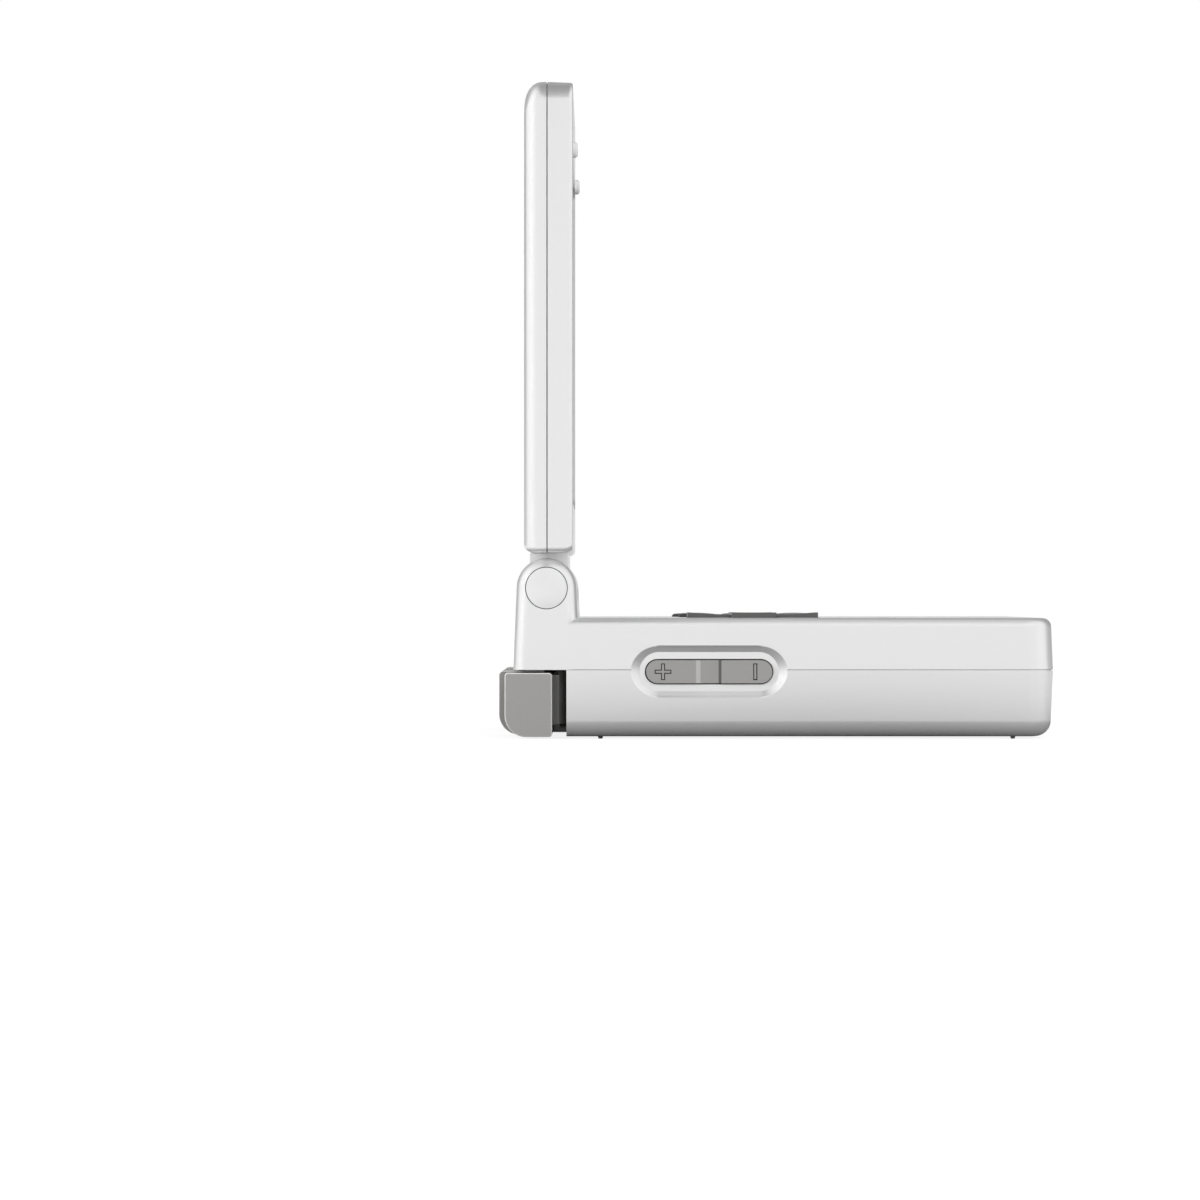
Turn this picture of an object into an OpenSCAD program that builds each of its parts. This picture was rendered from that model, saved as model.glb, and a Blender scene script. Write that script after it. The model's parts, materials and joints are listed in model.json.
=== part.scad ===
// Clamshell handheld game console, lid standing at a right angle to the base.
// Millimetres. X runs across the console, the player sits on the -Y side, +Z is up.
// The origin is under the middle of the console, on the surface it stands on.

/* [Overall] */
// Width of base and lid
body_w = 85; // [76:0.5:95]
// From the hinge axis to the front edge of the base
front_reach = 81.45; // [80.7:0.05:88]
// From the hinge axis to the back of the inner shoulder buttons
rear_reach = 7.9; // [7.2:0.1:9]
// Thickness of the base without its feet
base_h = 19; // [18.6:0.1:21]
// Height of the small moulded feet
foot_h = 0.4; // [0.3:0.1:1]
// Slope of the moulded outer walls, degrees
draft = 2.5; // [1:0.5:3]

/* [Shells] */
// Wall of the base shells
wall = 1.5; // [1.2:0.1:1.8]
// Height of the lower shell above the bottom of the base
parting_h = 10.7; // [10.6:0.1:11.4]
// Plan radius of the front corners of the base
front_corner_r = 4.6; // [4:0.1:6]
// Rounding along the top edge of the base
deck_edge_r = 1.4; // [0.8:0.1:1.8]
// Rounding along the bottom edge of the base
bottom_edge_r = 2.6; // [2:0.1:3.2]

/* [Hinge] */
// Height of the hinge axis over the deck
hinge_rise = 4.8; // [4.75:0.05:5.2]
// Outer radius of the hinge ears and of the lid's gap to them
ear_r = 4.8; // [4.5:0.1:5]
// Width of one hinge ear
ear_w = 13; // [11:0.5:14]
// Outer radius of the lid's hinge barrel
barrel_r = 4.3; // [4:0.1:4.4]
// Radius of the domed caps on the ears
cap_r = 3.28; // [3:0.02:3.6]
// Radius of the steel hinge shaft
shaft_r = 1.5; // [1.2:0.1:1.8]
// Outer radius of the friction unit and of the cable sleeve
hinge_unit_r = 2.8; // [2.6:0.1:3]

/* [Lid] */
// From the hinge axis to the lid's lower edge
lid_lift = 5.65; // [5.6:0.05:6.2]
// Thickness of the lid's rear cover
rear_cover_t = 3.7; // [3.4:0.1:4.2]
// From the hinge axis forward to the lid's inner face
lid_face = 4.22; // [4.1:0.02:4.24]
// From the hinge axis forward to the seam between rear cover and front frame
seam_reach = 0.1; // [0:0.05:0.3]
// Wall of the lid's two shells
lid_wall = 1.4; // [1.2:0.1:1.6]
// From the lid's side to the edge of the screen lens
lens_margin = 4.3; // [4:0.1:5.5]
// From the lid's top edge down to the screen lens
lens_drop = 11.5; // [10:0.1:13]
// Thickness of the screen lens
lens_t = 1; // [0.8:0.1:1.1]
// How far the lens lies below the lid's inner face
lens_sink = 0.3; // [0.04:0.02:0.4]
// How far the two bumpers stand out of the lid's inner face
bumper_h = 0.8; // [0.7:0.05:1]

/* [Controls] */
// Centre of the direction pad and of the action buttons, forward of the hinge axis
pad_reach = 33.4; // [32:0.2:36]
// Centre of both, from the nearer side of the console
pad_inset = 16.5; // [16:0.1:17]
// Length of the direction pad over two arms
dpad_len = 21.2; // [20.6:0.2:22]
// Width of one arm of the direction pad
dpad_arm = 7.2; // [6.6:0.2:7.8]
// How far the tips of the direction pad stand over the deck
dpad_rise = 0.9; // [0.5:0.02:0.9]
// Radius of an action button
button_r = 3.8; // [3.5:0.1:4]
// Radius of the circle that the four action buttons lie on
button_ring_r = 8.6; // [8.2:0.1:9]
// How far the buttons stand over the deck
button_rise = 0.7; // [0.5:0.05:0.75]
// Length of the volume rocker
rocker_len = 20.2; // [18:0.2:22]
// Height of the volume rocker
rocker_h = 3.7; // [3.4:0.1:4.2]
// Centre of the volume rocker, forward of the hinge axis
rocker_reach = 26.05; // [25:0.05:28]

/* [Shoulder buttons] */
// Width of the socket block between the shoulder buttons
port_block_w = 25.4; // [24.6:0.1:26.4]
// Share of a side's shoulder width that the outer button has
outer_share = 0.515; // [0.49:0.005:0.53]
// From the hinge axis to the back of the outer shoulder buttons
outer_trigger_reach = 6.7; // [6:0.1:6.9]
// Radius of the low back edge of the shoulder buttons
trigger_edge_r = 3.4; // [2.5:0.1:3.6]
// Open travel space in front of the shoulder buttons
trigger_room = 2.3; // [2.1:0.1:2.8]

/* [Inside] */
// Thickness of the main board
board_t = 1.2; // [1:0.1:1.4]
// Thickness of the battery
battery_t = 5.5; // [4.5:0.1:5.7]
// Bore radius of the headphone socket
jack_r = 1.78; // [1.76:0.01:1.85]

/* [Hidden] */
$fn = 48;
eps = 0.01;
fit_gap = 0.05;
press_gap = 0.02;
slide_gap = 0.15;
seam_gap = 0.25;
over = 1;

base_z = foot_h;
deck_z = base_z + base_h;
parting_z = base_z + parting_h;
depth = front_reach + rear_reach;
front_y = -depth / 2;
hinge_y = front_y + front_reach;
hinge_z = deck_z + hinge_rise;
side_x = body_w / 2;
slope = tan(draft);

deck_t = 1.6;
deck_under = deck_z - deck_t;
floor_z = base_z + 1.6;
rear_wall_reach = 5.34;
rear_y = hinge_y + rear_wall_reach;
rear_corner_r = 2.2;
parting_bevel = 0.1;

ear_in = side_x - ear_w;
ear_out = side_x - (hinge_z - parting_z) * slope;
ear_edge_r = 2;
ear_foot_reach = ear_r + 0.6;
cap_t = 1.2;
cap_dome = 0.35;
cap_gap = 0.13;
cap_seat = ear_out - cap_t - 0.15;
shaft_head_r = 2.5;
shaft_head_t = 1;
friction_len = 20;
sleeve_len = 22;
sleeve_in_ear = ear_w - 4;
sleeve_bore_r = hinge_unit_r - 0.8;
cable_pocket_x = ear_in + sleeve_in_ear + fit_gap;
flex_t = 0.3;
flex_w = 4;
flex_y = hinge_y - 2.8;

trigger_front_reach = 0.9;
room_y = hinge_y - trigger_front_reach - trigger_room;
trigger_low_z = base_z - 0.05;
trigger_top_z = parting_z - 0.5;
trigger_pivot = [hinge_y + 1.95, parting_z - 2.1];
trigger_pin_r = 0.75;
trigger_small_r = 0.5;
lug_t = 0.7;
lug_r = 1.5;
trigger_gap = 0.2;
web_reach = trigger_room - 1.1;
web_t = 1.6;
web_back = 1;
web_low = 1.9;
port_half_w = port_block_w / 2;
triggers_w = side_x - port_half_w - lug_t * 2 - trigger_gap * 4;
outer_trigger_w = triggers_w * outer_share;
inner_trigger_w = triggers_w - outer_trigger_w;
port_wall = 1.5;

board_z = base_z + 8.6;
board_top = board_z + board_t;
flex_run_z = board_top + 3.4;
board_half_w = side_x - wall - 3.6;
board_front = front_y + wall + 1.9;
board_rear = room_y - wall - 2.4;
case_boss_r = 2.3;
case_boss_x = side_x - 9;
case_boss_y = [front_y + 6.45, room_y - 7.35];
screw_r = 0.8;
screw_head_r = 1.5;
screw_head_t = 1;
screw_seat_z = base_z + 3.6;
foot_x = side_x - 4.3;
foot_y = [front_y + 6.5, hinge_y - 8.65];

pad_y = hinge_y - pad_reach;
pad_x = side_x - pad_inset;
flange_top = deck_under - 0.1;
flange_t = 1.1;
button_edge_r = 0.35;
stem_r = 2.4;
stem_low = board_top + 4.4;
press_travel = 0.7;
dome_top = stem_low - press_travel - 0.1;
membrane_t = 0.8;
pill_len = 7;
pill_w = 3.2;
pill_top = deck_z - 0.05;
pill_edge_t = 0.2;
pill_x = 7;
pill_y = pad_y - 23;
menu_r = 2.6;
menu_y = pad_y + 9;
dpad_flange_r = dpad_len / 2 + 1.3;
dpad_flange_low = deck_under - 1.9;
dpad_flange_t = 1.2;
dpad_gap = 0.3;
dpad_dish = 0.5;
pivot_z = dpad_flange_low - 0.3;
pivot_r = 4.6;
pivot_t = 0.5;
pivot_pin_r = 1.5;
pivot_gap = 0.2;
dpad_rubber_r = 9.2;
plunge = 0.5;

rocker_y = hinge_y - rocker_reach;
rocker_z = parting_z - 0.3;
rocker_slot_gap = 0.17;
well_floor = [rocker_len + 2.1, rocker_h + 2.6];
well_mouth = [well_floor[0] + 3, well_floor[1] + 2.15];
well_depth = 1.15;
well_floor_x = side_x - well_depth;
rocker_boss_t = 1.4;
rocker_face_x = side_x - 0.15;
rocker_back_x = well_floor_x - rocker_boss_t - 1.6;
rocker_trough = [-2.12, -1.38, 1.52, 1.98];
rocker_trough_t = 0.4;
rocker_board_x = rocker_back_x - 1.9;

side_button_z = base_z + 6.6;
power_y = room_y - 18.4;
reset_y = room_y - 27.4;
power_len = 5;
power_w = 2.4;
reset_r = 1.1;
card_y = [front_y + 0.227 * front_reach, front_y + 0.436 * front_reach];
card_slot_w = 11.8;
card_slot_h = 1.4;
card_reader_w = 14;
card_reader_len = 14.6;
card_reader_t = 1.9;

battery_side_room = 19.5;
battery_w = body_w - 2 * battery_side_room;
battery_x = 1;
battery_front = front_y + 0.233 * front_reach;
battery_len = pad_y + 7.35 - battery_front;

usb_w = 8.94;
usb_h = 3.16;
usb_len = 7.4;
hdmi_w = 10.4;
hdmi_h = 3;
hdmi_len = 7.6;
port_z = board_z - usb_h / 2 - 0.02;
usb_x = -5.6;
hdmi_x = 5.4;
jack_x = -side_x + 15.5;
jack_nose_r = 2.9;
jack_z = board_z - jack_nose_r - 0.02;
jack_len = 14;

speaker_x = side_x - 19.5;
speaker_y = front_y + 11.5;
speaker_size = [13, 11, 3.2];
speaker_slots = 5;
speaker_pitch = 2.2;
speaker_slot = [7, 1];

lid_top = front_reach - 0.22;
lid_rear = seam_reach - rear_cover_t;
// roundings of the lid's edges, each as [reach in plan, reach in thickness]
lid_side_round = [2.1, 2.4];
lid_top_round = [3.9, 2.8];
lid_low_round = [1.05, 2.3];
frame_side_round = [0.4, 0.7];
frame_top_round = [0.3, 0.5];
frame_low_round = [0.88, 1.5];
frame_top_fall = 0.12;
lid_corner_high = 3;
lid_corner_low = 1;
corner_loss = 0.8;
lid_draft_in = 0.06;
seam_half_w = 0.12;
seam_depth = 0.25;
frame_web = 1.05;
lens_low = lid_lift + 8.05;
lens_w = body_w - 2 * lens_margin;
lens_h = lid_top - lens_drop - lens_low;
lens_corner_r = 2.2;
lens_seat = lid_face - lens_sink - lens_t;
lens_mid = lens_low + lens_h / 2;
bumper_at = lens_low + lens_h + 0.7;
screen_w = lens_w - 5.3;
screen_h = lens_h - 2.7;
lcd_w = lens_w + 0.5;
lcd_h = lens_h + 7.9;
lcd_t = 2.4;
lcd_low = lid_lift + lid_wall + 0.4;
frame_back = lens_seat - frame_web;
neck_rear = -2.8;
neck_front = 3.4;
barrel_half = ear_in - seam_gap;
bumper_r = 1.3;
bumper_x = side_x - 3.9;
lid_boss_r = 2;
lid_boss_x = side_x - 8.5;
lid_boss_h = lid_top - 5.3;

shell_white = [0.88, 0.88, 0.88];
button_grey = [0.36, 0.36, 0.37];
trigger_grey = [0.62, 0.62, 0.61];
steel = [0.7, 0.71, 0.73];
black = [0.08, 0.08, 0.09];
rubber = [0.3, 0.3, 0.32];
board_green = [0.1, 0.36, 0.22];
copper = [0.75, 0.5, 0.25];

// ---------- shared shapes ----------

// One thin slice of a rounded box: lo and hi are its corners in plan,
// r_low and r_high the corner radii at the small-y and large-y ends.
module slice(lo, hi, r_low, r_high, z, h = eps) {
    for (sx = [0, 1])
        for (end = [0, 1]) {
            r = end == 0 ? r_low : r_high;
            x = sx == 0 ? lo[0] + r : hi[0] - r;
            y = end == 0 ? lo[1] + r : hi[1] - r;
            translate([x, y, z]) cylinder(r = r, h = h);
        }
}

// Rectangle with round corners, kept as true arcs.
module round_rect(size, r) {
    square([size[0] - 2 * r, size[1]], center = true);
    square([size[0], size[1] - 2 * r], center = true);
    for (sx = [-1, 1])
        for (sy = [-1, 1])
            translate([sx * (size[0] / 2 - r), sy * (size[1] / 2 - r)]) circle(r = r);
}

// Stadium of a full length and width, along X.
module stadium(len, w) {
    square([len - w, w], center = true);
    for (s = [-1, 1]) translate([s * (len - w) / 2, 0]) circle(d = w);
}

// Takes a round corner of radius r off at the origin, the piece lying in +x +y.
module corner_cut(r) {
    difference() {
        translate([-over, -over]) square(r + over);
        translate([r, r]) circle(r = r);
    }
}

// Stands a flat drawing up: its x stays, its y becomes height over the hinge axis
// and its z the distance forward of the axis.
module upright() {
    translate([0, hinge_y, hinge_z]) rotate([90, 0, 0]) children();
}

// Lays a drawing on a side wall: s = -1 for the left, 1 for the right. Its x runs
// along the wall, its y up, and its z outward from the middle plane.
module on_side(s, y, z) {
    translate([0, y, z]) rotate([90, 0, s * 90]) children();
}

// A turned piece on the hinge axis; the profile is drawn as [radius, x].
module on_hinge(side = 1) {
    translate([0, hinge_y, hinge_z]) rotate([0, side * 90, 0]) children();
}

// ---------- base shells ----------

module base_slice(inset, z, rear_r) {
    slice([inset - side_x, front_y + inset], [side_x - inset, rear_y - inset],
        front_corner_r - inset, rear_r - inset, z);
}

module upper_skin() {
    rise = deck_z - parting_z;
    hull() {
        base_slice(parting_bevel, parting_z, rear_corner_r);
        base_slice(0, parting_z + parting_bevel, rear_corner_r);
        for (a = [0:15:90])
            base_slice((rise - deck_edge_r) * slope + deck_edge_r * (1 - cos(a)),
                deck_z - eps - deck_edge_r * (1 - sin(a)), rear_corner_r);
    }
}

module lower_skin() {
    rear_r = bottom_edge_r + 1;
    hull() {
        base_slice(parting_bevel, parting_z - eps, rear_r);
        base_slice(0, parting_z - parting_bevel, rear_r);
        for (a = [0:15:90])
            base_slice((parting_h - bottom_edge_r) * slope + bottom_edge_r * (1 - cos(a)),
                base_z + bottom_edge_r * (1 - sin(a)), rear_r);
    }
}

// The room inside the base, between two heights, clear of the shoulder buttons.
module base_room(low, high) {
    inset = wall + max(deck_z - parting_z, parting_h) * slope;
    r = front_corner_r - wall;
    front = front_y + inset;
    back = room_y - wall;
    translate([0, (front + back) / 2, low]) linear_extrude(high - low)
        round_rect([body_w - 2 * inset, back - front], r);
    translate([-port_half_w + port_wall, back - over, low])
        cube([2 * (port_half_w - port_wall), rear_y - 2 * wall - back + over + 0.5, high - low]);
}

// The ear's turned end, with a rounded outer edge.
module ear_round() {
    on_hinge() rotate_extrude() {
        polygon([[0, ear_in], [ear_r, ear_in], [ear_r, ear_out - ear_edge_r],
            [ear_r - ear_edge_r, ear_out], [0, ear_out]]);
        translate([ear_r - ear_edge_r, ear_out - ear_edge_r]) circle(r = ear_edge_r);
    }
}

module ear() {
    hull() {
        ear_round();
        for (y = [hinge_y - ear_foot_reach, rear_y])
            for (x = [ear_in, side_x]) {
                r = x == ear_in ? 0.3 : ear_edge_r;
                translate([x == ear_in ? x + r : x - r, y > hinge_y ? y - r : y + r, parting_z])
                    cylinder(r = r, h = eps);
            }
    }
}

module ear_bores() {
    for (s = [-1, 1]) on_hinge(s) translate([0, 0, cap_seat])
        cylinder(r = cap_r + cap_gap, h = ear_w);
    // left ear: shaft and its head
    on_hinge(-1) translate([0, 0, ear_in - over]) cylinder(r = shaft_r + press_gap, h = ear_w);
    on_hinge(-1) translate([0, 0, cap_seat - shaft_head_t - fit_gap])
        cylinder(r = shaft_head_r + fit_gap, h = ear_w);
    // right ear: cable sleeve, then the pocket that leads the cable down
    on_hinge(1) translate([0, 0, ear_in - over])
        cylinder(r = hinge_unit_r + fit_gap, h = sleeve_in_ear + over + fit_gap);
    pocket_w = cap_seat - cable_pocket_x + 2 * eps;
    translate([cable_pocket_x - eps, flex_y - 0.2, flex_run_z - 0.2])
        cube([pocket_w, flex_w + 0.4, hinge_z - flex_run_z + 1.5]);
    translate([cable_pocket_x - eps, room_y - wall - over, flex_run_z - 0.2])
        cube([pocket_w, flex_y + flex_w + 0.2 - room_y + wall + over, flex_w]);
}

// Left-hand hull and cuts of the volume rocker's well, through both shells.
module rocker_well() {
    on_side(-1, rocker_y, rocker_z) {
        translate([0, 0, rocker_back_x - 3]) linear_extrude(8)
            stadium(rocker_len + 2 * rocker_slot_gap, rocker_h + 2 * rocker_slot_gap);
        hull() {
            translate([0, 0, well_floor_x]) linear_extrude(eps) stadium(well_floor[0], well_floor[1]);
            translate([0, 0, side_x + 0.05]) linear_extrude(over) stadium(well_mouth[0], well_mouth[1]);
        }
    }
}

module rocker_boss(low, high) {
    boss_w = well_floor[0] + 1;
    translate([-well_floor_x - 0.3, rocker_y - boss_w / 2, low])
        cube([rocker_boss_t + 0.3, boss_w, high - low]);
}

module case_boss_places() {
    for (s = [-1, 1])
        for (y = case_boss_y) translate([s * case_boss_x, y, 0]) children();
}

module diamond_places() {
    for (a = [0:90:270])
        translate([pad_x + button_ring_r * cos(a), pad_y + button_ring_r * sin(a), 0])
            children();
}

module dpad_plan(grow) {
    square([dpad_len + 2 * grow, dpad_arm + 2 * grow], center = true);
    square([dpad_arm + 2 * grow, dpad_len + 2 * grow], center = true);
}

module deck_openings() {
    translate([0, 0, deck_under - over]) linear_extrude(deck_t + 2 * over) {
        translate([-pad_x, pad_y]) dpad_plan(dpad_gap);
        for (s = [-1, 1]) translate([s * pill_x, pill_y]) stadium(pill_len + 2 * slide_gap, pill_w + 2 * slide_gap);
        translate([0, menu_y]) circle(r = menu_r + slide_gap);
        for (s = [-1, 1])
            for (i = [0:speaker_slots - 1])
                translate([s * speaker_x, speaker_y + (i - (speaker_slots - 1) / 2) * speaker_pitch])
                    stadium(speaker_slot[0], speaker_slot[1]);
    }
    translate([0, 0, deck_under - over]) diamond_places()
        cylinder(r = button_r + slide_gap, h = deck_t + 2 * over);
}

// Hanging lugs that carry the shoulder buttons' pin, for the left side.
module trigger_lugs() {
    for (x = [-port_half_w - trigger_gap - lug_t,
              -port_half_w - 3 * trigger_gap - inner_trigger_w - 2 * lug_t])
        translate([x, trigger_pivot[0], trigger_pivot[1]]) rotate([90, 0, 90]) difference() {
            linear_extrude(lug_t) {
                circle(r = lug_r);
                translate([-lug_r, 0]) square([2 * lug_r, parting_z - trigger_pivot[1] + 0.5]);
            }
            translate([0, 0, -over]) cylinder(r = trigger_pin_r + press_gap, h = lug_t + 2 * over);
        }
}

module base_upper_shell() {
    color(shell_white) {
        difference() {
            union() {
                difference() {
                    upper_skin();
                    base_room(parting_z - over, deck_under);
                }
                ear();
                mirror([1, 0, 0]) ear();
                rocker_boss(parting_z, rocker_z + well_floor[1] / 2 + 1);
                case_boss_places() translate([0, 0, board_top])
                    cylinder(r = case_boss_r, h = deck_under - board_top + 0.2);
            }
            ear_bores();
            rocker_well();
            deck_openings();
            case_boss_places() translate([0, 0, board_top - over])
                cylinder(r = screw_r + press_gap, h = deck_under - board_top + over - 0.6);
        }
        trigger_lugs();
        mirror([1, 0, 0]) trigger_lugs();
    }
}

module shoulder_rooms() {
    for (s = [-1, 1]) translate([s * (side_x + port_half_w) / 2, room_y + 10, base_h / 2])
        cube([side_x - port_half_w, 20, 2 * base_h], center = true);
    // the corners outside the plan radius
    for (s = [-1, 1]) translate([s * side_x, room_y + 10, base_h / 2])
        cube([2, 20, 2 * base_h], center = true);
}

module side_openings() {
    for (y = card_y) translate([side_x - wall - 2, y - card_slot_w / 2, port_top() - card_slot_h])
        cube([wall + 4, card_slot_w, card_slot_h]);
    on_side(1, power_y, side_button_z) linear_extrude(side_x + over)
        stadium(power_len + 2 * slide_gap, power_w + 2 * slide_gap);
    on_side(1, reset_y, side_button_z) cylinder(r = reset_r + slide_gap, h = side_x + over);
}

function port_top() = board_z - 0.35;

module rear_openings() {
    translate([usb_x, rear_y + over, port_z]) rotate([90, 0, 0]) linear_extrude(wall + 4)
        stadium(usb_w + 0.3, usb_h + 0.3);
    translate([hdmi_x, rear_y + over, port_z]) rotate([90, 0, 0]) linear_extrude(wall + 4)
        hdmi_plan(0.15);
}

module hdmi_plan(grow) {
    w = hdmi_w / 2 + grow;
    h = hdmi_h / 2 + grow;
    polygon([[-w, h], [w, h], [w, 0], [w - 1.6, -h], [1.6 - w, -h], [-w, 0]]);
}

module base_lower_shell() {
    color(shell_white) difference() {
        union() {
            difference() {
                lower_skin();
                base_room(floor_z, parting_z + over);
                shoulder_rooms();
            }
            rocker_boss(rocker_z - well_floor[1] / 2 - 1, parting_z - eps);
            case_boss_places() translate([0, 0, floor_z - 0.2])
                cylinder(r = case_boss_r, h = board_z - floor_z + 0.2);
            for (s = [-1, 1])
                for (y = foot_y) translate([s * foot_x, y, 0])
                    cylinder(r1 = 0.3, r2 = 0.5, h = base_z + 0.2);
        }
        rocker_well();
        side_openings();
        rear_openings();
        translate([jack_x, front_y - over, jack_z]) rotate([-90, 0, 0])
            cylinder(r = jack_nose_r + 0.1, h = wall + 3);
        case_boss_places() {
            translate([0, 0, -over]) cylinder(r = screw_head_r + slide_gap, h = screw_seat_z + over);
            cylinder(r = screw_r + slide_gap, h = board_z + over);
        }
    }
}

module case_screws() {
    color(steel) case_boss_places() {
        translate([0, 0, screw_seat_z - screw_head_t]) difference() {
            cylinder(r = screw_head_r, h = screw_head_t);
            translate([0, 0, -over]) cylinder(r = 0.7, h = over + 0.6, $fn = 6);
        }
        translate([0, 0, screw_seat_z - eps]) cylinder(r = screw_r, h = deck_under - screw_seat_z - 1.2);
    }
}

// ---------- hinge ----------

module hinge_cap() {
    dome_r = (cap_r * cap_r + cap_dome * cap_dome) / (2 * cap_dome);
    color(shell_white) on_hinge() intersection() {
        translate([0, 0, cap_seat]) cylinder(r = cap_r, h = cap_t + cap_dome);
        translate([0, 0, cap_seat + cap_t + cap_dome - dome_r]) sphere(r = dome_r, $fn = 120);
    }
}

module hinge_cap_left() { mirror([1, 0, 0]) hinge_cap(); }
module hinge_cap_right() { hinge_cap(); }

module hinge_shaft() {
    color(steel) on_hinge(-1) {
        translate([0, 0, cap_seat - shaft_head_t]) cylinder(r = shaft_head_r, h = shaft_head_t);
        translate([0, 0, barrel_half - friction_len + 6])
            cylinder(r = shaft_r, h = cap_seat - shaft_head_t - barrel_half + friction_len - 6 + eps);
    }
}

module hinge_friction_unit() {
    color(steel) on_hinge(-1) difference() {
        translate([0, 0, barrel_half - friction_len]) cylinder(r = hinge_unit_r, h = friction_len);
        translate([0, 0, barrel_half - friction_len + 5])
            cylinder(r = shaft_r + fit_gap, h = friction_len);
    }
}

module hinge_cable_sleeve() {
    color(steel) on_hinge(1) difference() {
        translate([0, 0, ear_in + sleeve_in_ear - sleeve_len]) cylinder(r = hinge_unit_r, h = sleeve_len);
        translate([0, 0, ear_in + sleeve_in_ear - sleeve_len - over])
            cylinder(r = sleeve_bore_r, h = sleeve_len + 2 * over);
    }
}

// ---------- lid ----------

module lid_slice(side_in, low_in, high_in, corner_in, z, h = eps) {
    slice([side_in - side_x, lid_lift + low_in], [side_x - side_in, lid_top - high_in],
        max(lid_corner_low - corner_in, 0.5), max(lid_corner_high - corner_in, 0.8), z, h);
}

// Loss in plan of an edge rounded as [plan, thickness], at a depth d under the outer face.
function round_in(d, edge) =
    d >= edge[1] ? 0 : edge[0] * (1 - sqrt(1 - pow(1 - d / edge[1], 2)));

// The outer corner of the seam between the lid's two shells, away from the seam by dir.
module seam_edge(dir) {
    lid_slice(seam_depth, seam_depth, seam_depth, 0, dir > 0 ? seam_reach : seam_reach - eps);
    lid_slice(0, 0, 0, 0, seam_reach + dir * seam_half_w);
}

module rear_skin() {
    hull() {
        seam_edge(-1);
        for (a = [0:15:90]) {
            d = lid_top_round[1] * (1 - sin(a));
            lid_slice(lid_draft_in + round_in(d, lid_side_round), round_in(d, lid_low_round),
                round_in(d, lid_top_round), round_in(d, [corner_loss, lid_side_round[1]]), lid_rear + d);
        }
    }
}

module front_skin() {
    hull() {
        seam_edge(1);
        for (a = [0:18:90]) {
            d = frame_low_round[1] * (1 - sin(a));
            lid_slice(lid_draft_in + round_in(d, frame_side_round), round_in(d, frame_low_round),
                frame_top_fall + round_in(d, frame_top_round), round_in(d, frame_side_round),
                lid_face - eps - d);
        }
    }
}

module lid_room(low, high) {
    h = lid_top - lid_lift - 2 * lid_wall - 1;
    translate([0, (lid_top + lid_lift) / 2 - 0.3, low]) linear_extrude(high - low)
        round_rect([body_w - 2 * lid_wall - 1, h], 2);
}

module lid_boss_places() {
    for (s = [-1, 1]) translate([s * lid_boss_x, lid_boss_h, 0]) children();
}

module lid_rear_cover() {
    color(shell_white) upright() difference() {
        union() {
            difference() {
                rear_skin();
                lid_room(lid_rear + lid_wall, seam_reach + over);
            }
            lid_boss_places() translate([0, 0, lid_rear + 0.6])
                cylinder(r = lid_boss_r, h = seam_reach - eps - lid_rear - 0.6);
        }
        lid_boss_places() {
            translate([0, 0, lid_rear + 1]) cylinder(r = screw_r + press_gap, h = rear_cover_t);
        }
    }
}

module lid_front_frame() {
    color(shell_white) difference() {
        union() {
            upright() difference() {
                union() {
                    difference() {
                        front_skin();
                        lid_room(seam_reach - over, frame_back);
                    }
                    lid_boss_places() translate([0, 0, seam_reach])
                        cylinder(r = lid_boss_r, h = frame_back - seam_reach + 0.3);
                }
                translate([0, lens_mid, lens_seat]) linear_extrude(lens_t + over)
                    round_rect([lens_w + 2 * fit_gap, lens_h + 2 * fit_gap], lens_corner_r + fit_gap);
                translate([0, lens_mid, seam_reach]) linear_extrude(lid_face)
                    square([screen_w + 0.8, screen_h + 0.8], center = true);
                for (s = [-1, 1]) translate([s * bumper_x, bumper_at, lid_face - 0.8])
                    cylinder(r = bumper_r + fit_gap, h = over);
                lid_boss_places() translate([0, 0, seam_reach - over])
                    cylinder(r = screw_r + slide_gap, h = over + 1.6);
            }
            on_hinge() translate([0, 0, -barrel_half]) cylinder(r = barrel_r, h = 2 * barrel_half);
            upright() translate([-barrel_half, 0, neck_rear])
                cube([2 * barrel_half, lid_lift - eps, neck_front - neck_rear]);
            upright() translate([-barrel_half, 0, seam_reach])
                cube([2 * barrel_half, lid_lift + 0.5, neck_front - seam_reach]);
        }
        on_hinge(-1) translate([0, 0, barrel_half - friction_len - fit_gap])
            cylinder(r = hinge_unit_r + fit_gap, h = friction_len + over);
        on_hinge(1) translate([0, 0, ear_in + sleeve_in_ear - sleeve_len - fit_gap])
            cylinder(r = hinge_unit_r + fit_gap, h = sleeve_len);
        // the display cable's way from the barrel into the lid
        upright() translate([cable_x0, 0, seam_reach + 0.02])
            cube([cable_w + 1, lid_lift + lid_wall + 1, 0.8]);
        on_hinge(1) translate([0, 0, cable_x0]) cylinder(r = sleeve_bore_r, h = sleeve_len / 2);
    }
}

cable_x0 = ear_in + sleeve_in_ear - sleeve_len - 9;
cable_w = 8;
cable_roll_r = sleeve_bore_r - 0.3;

module screen_lens() {
    color(black) upright() translate([0, lens_mid, lens_seat]) linear_extrude(lens_t)
        round_rect([lens_w, lens_h], lens_corner_r);
}

module lcd_panel() {
    color(black) upright() {
        translate([-lcd_w / 2, lcd_low, frame_back - lcd_t - fit_gap])
            cube([lcd_w, lcd_h, lcd_t]);
        translate([-screen_w / 2, lens_mid - screen_h / 2, frame_back - fit_gap - eps])
            cube([screen_w, screen_h, frame_web]);
    }
}

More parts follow.
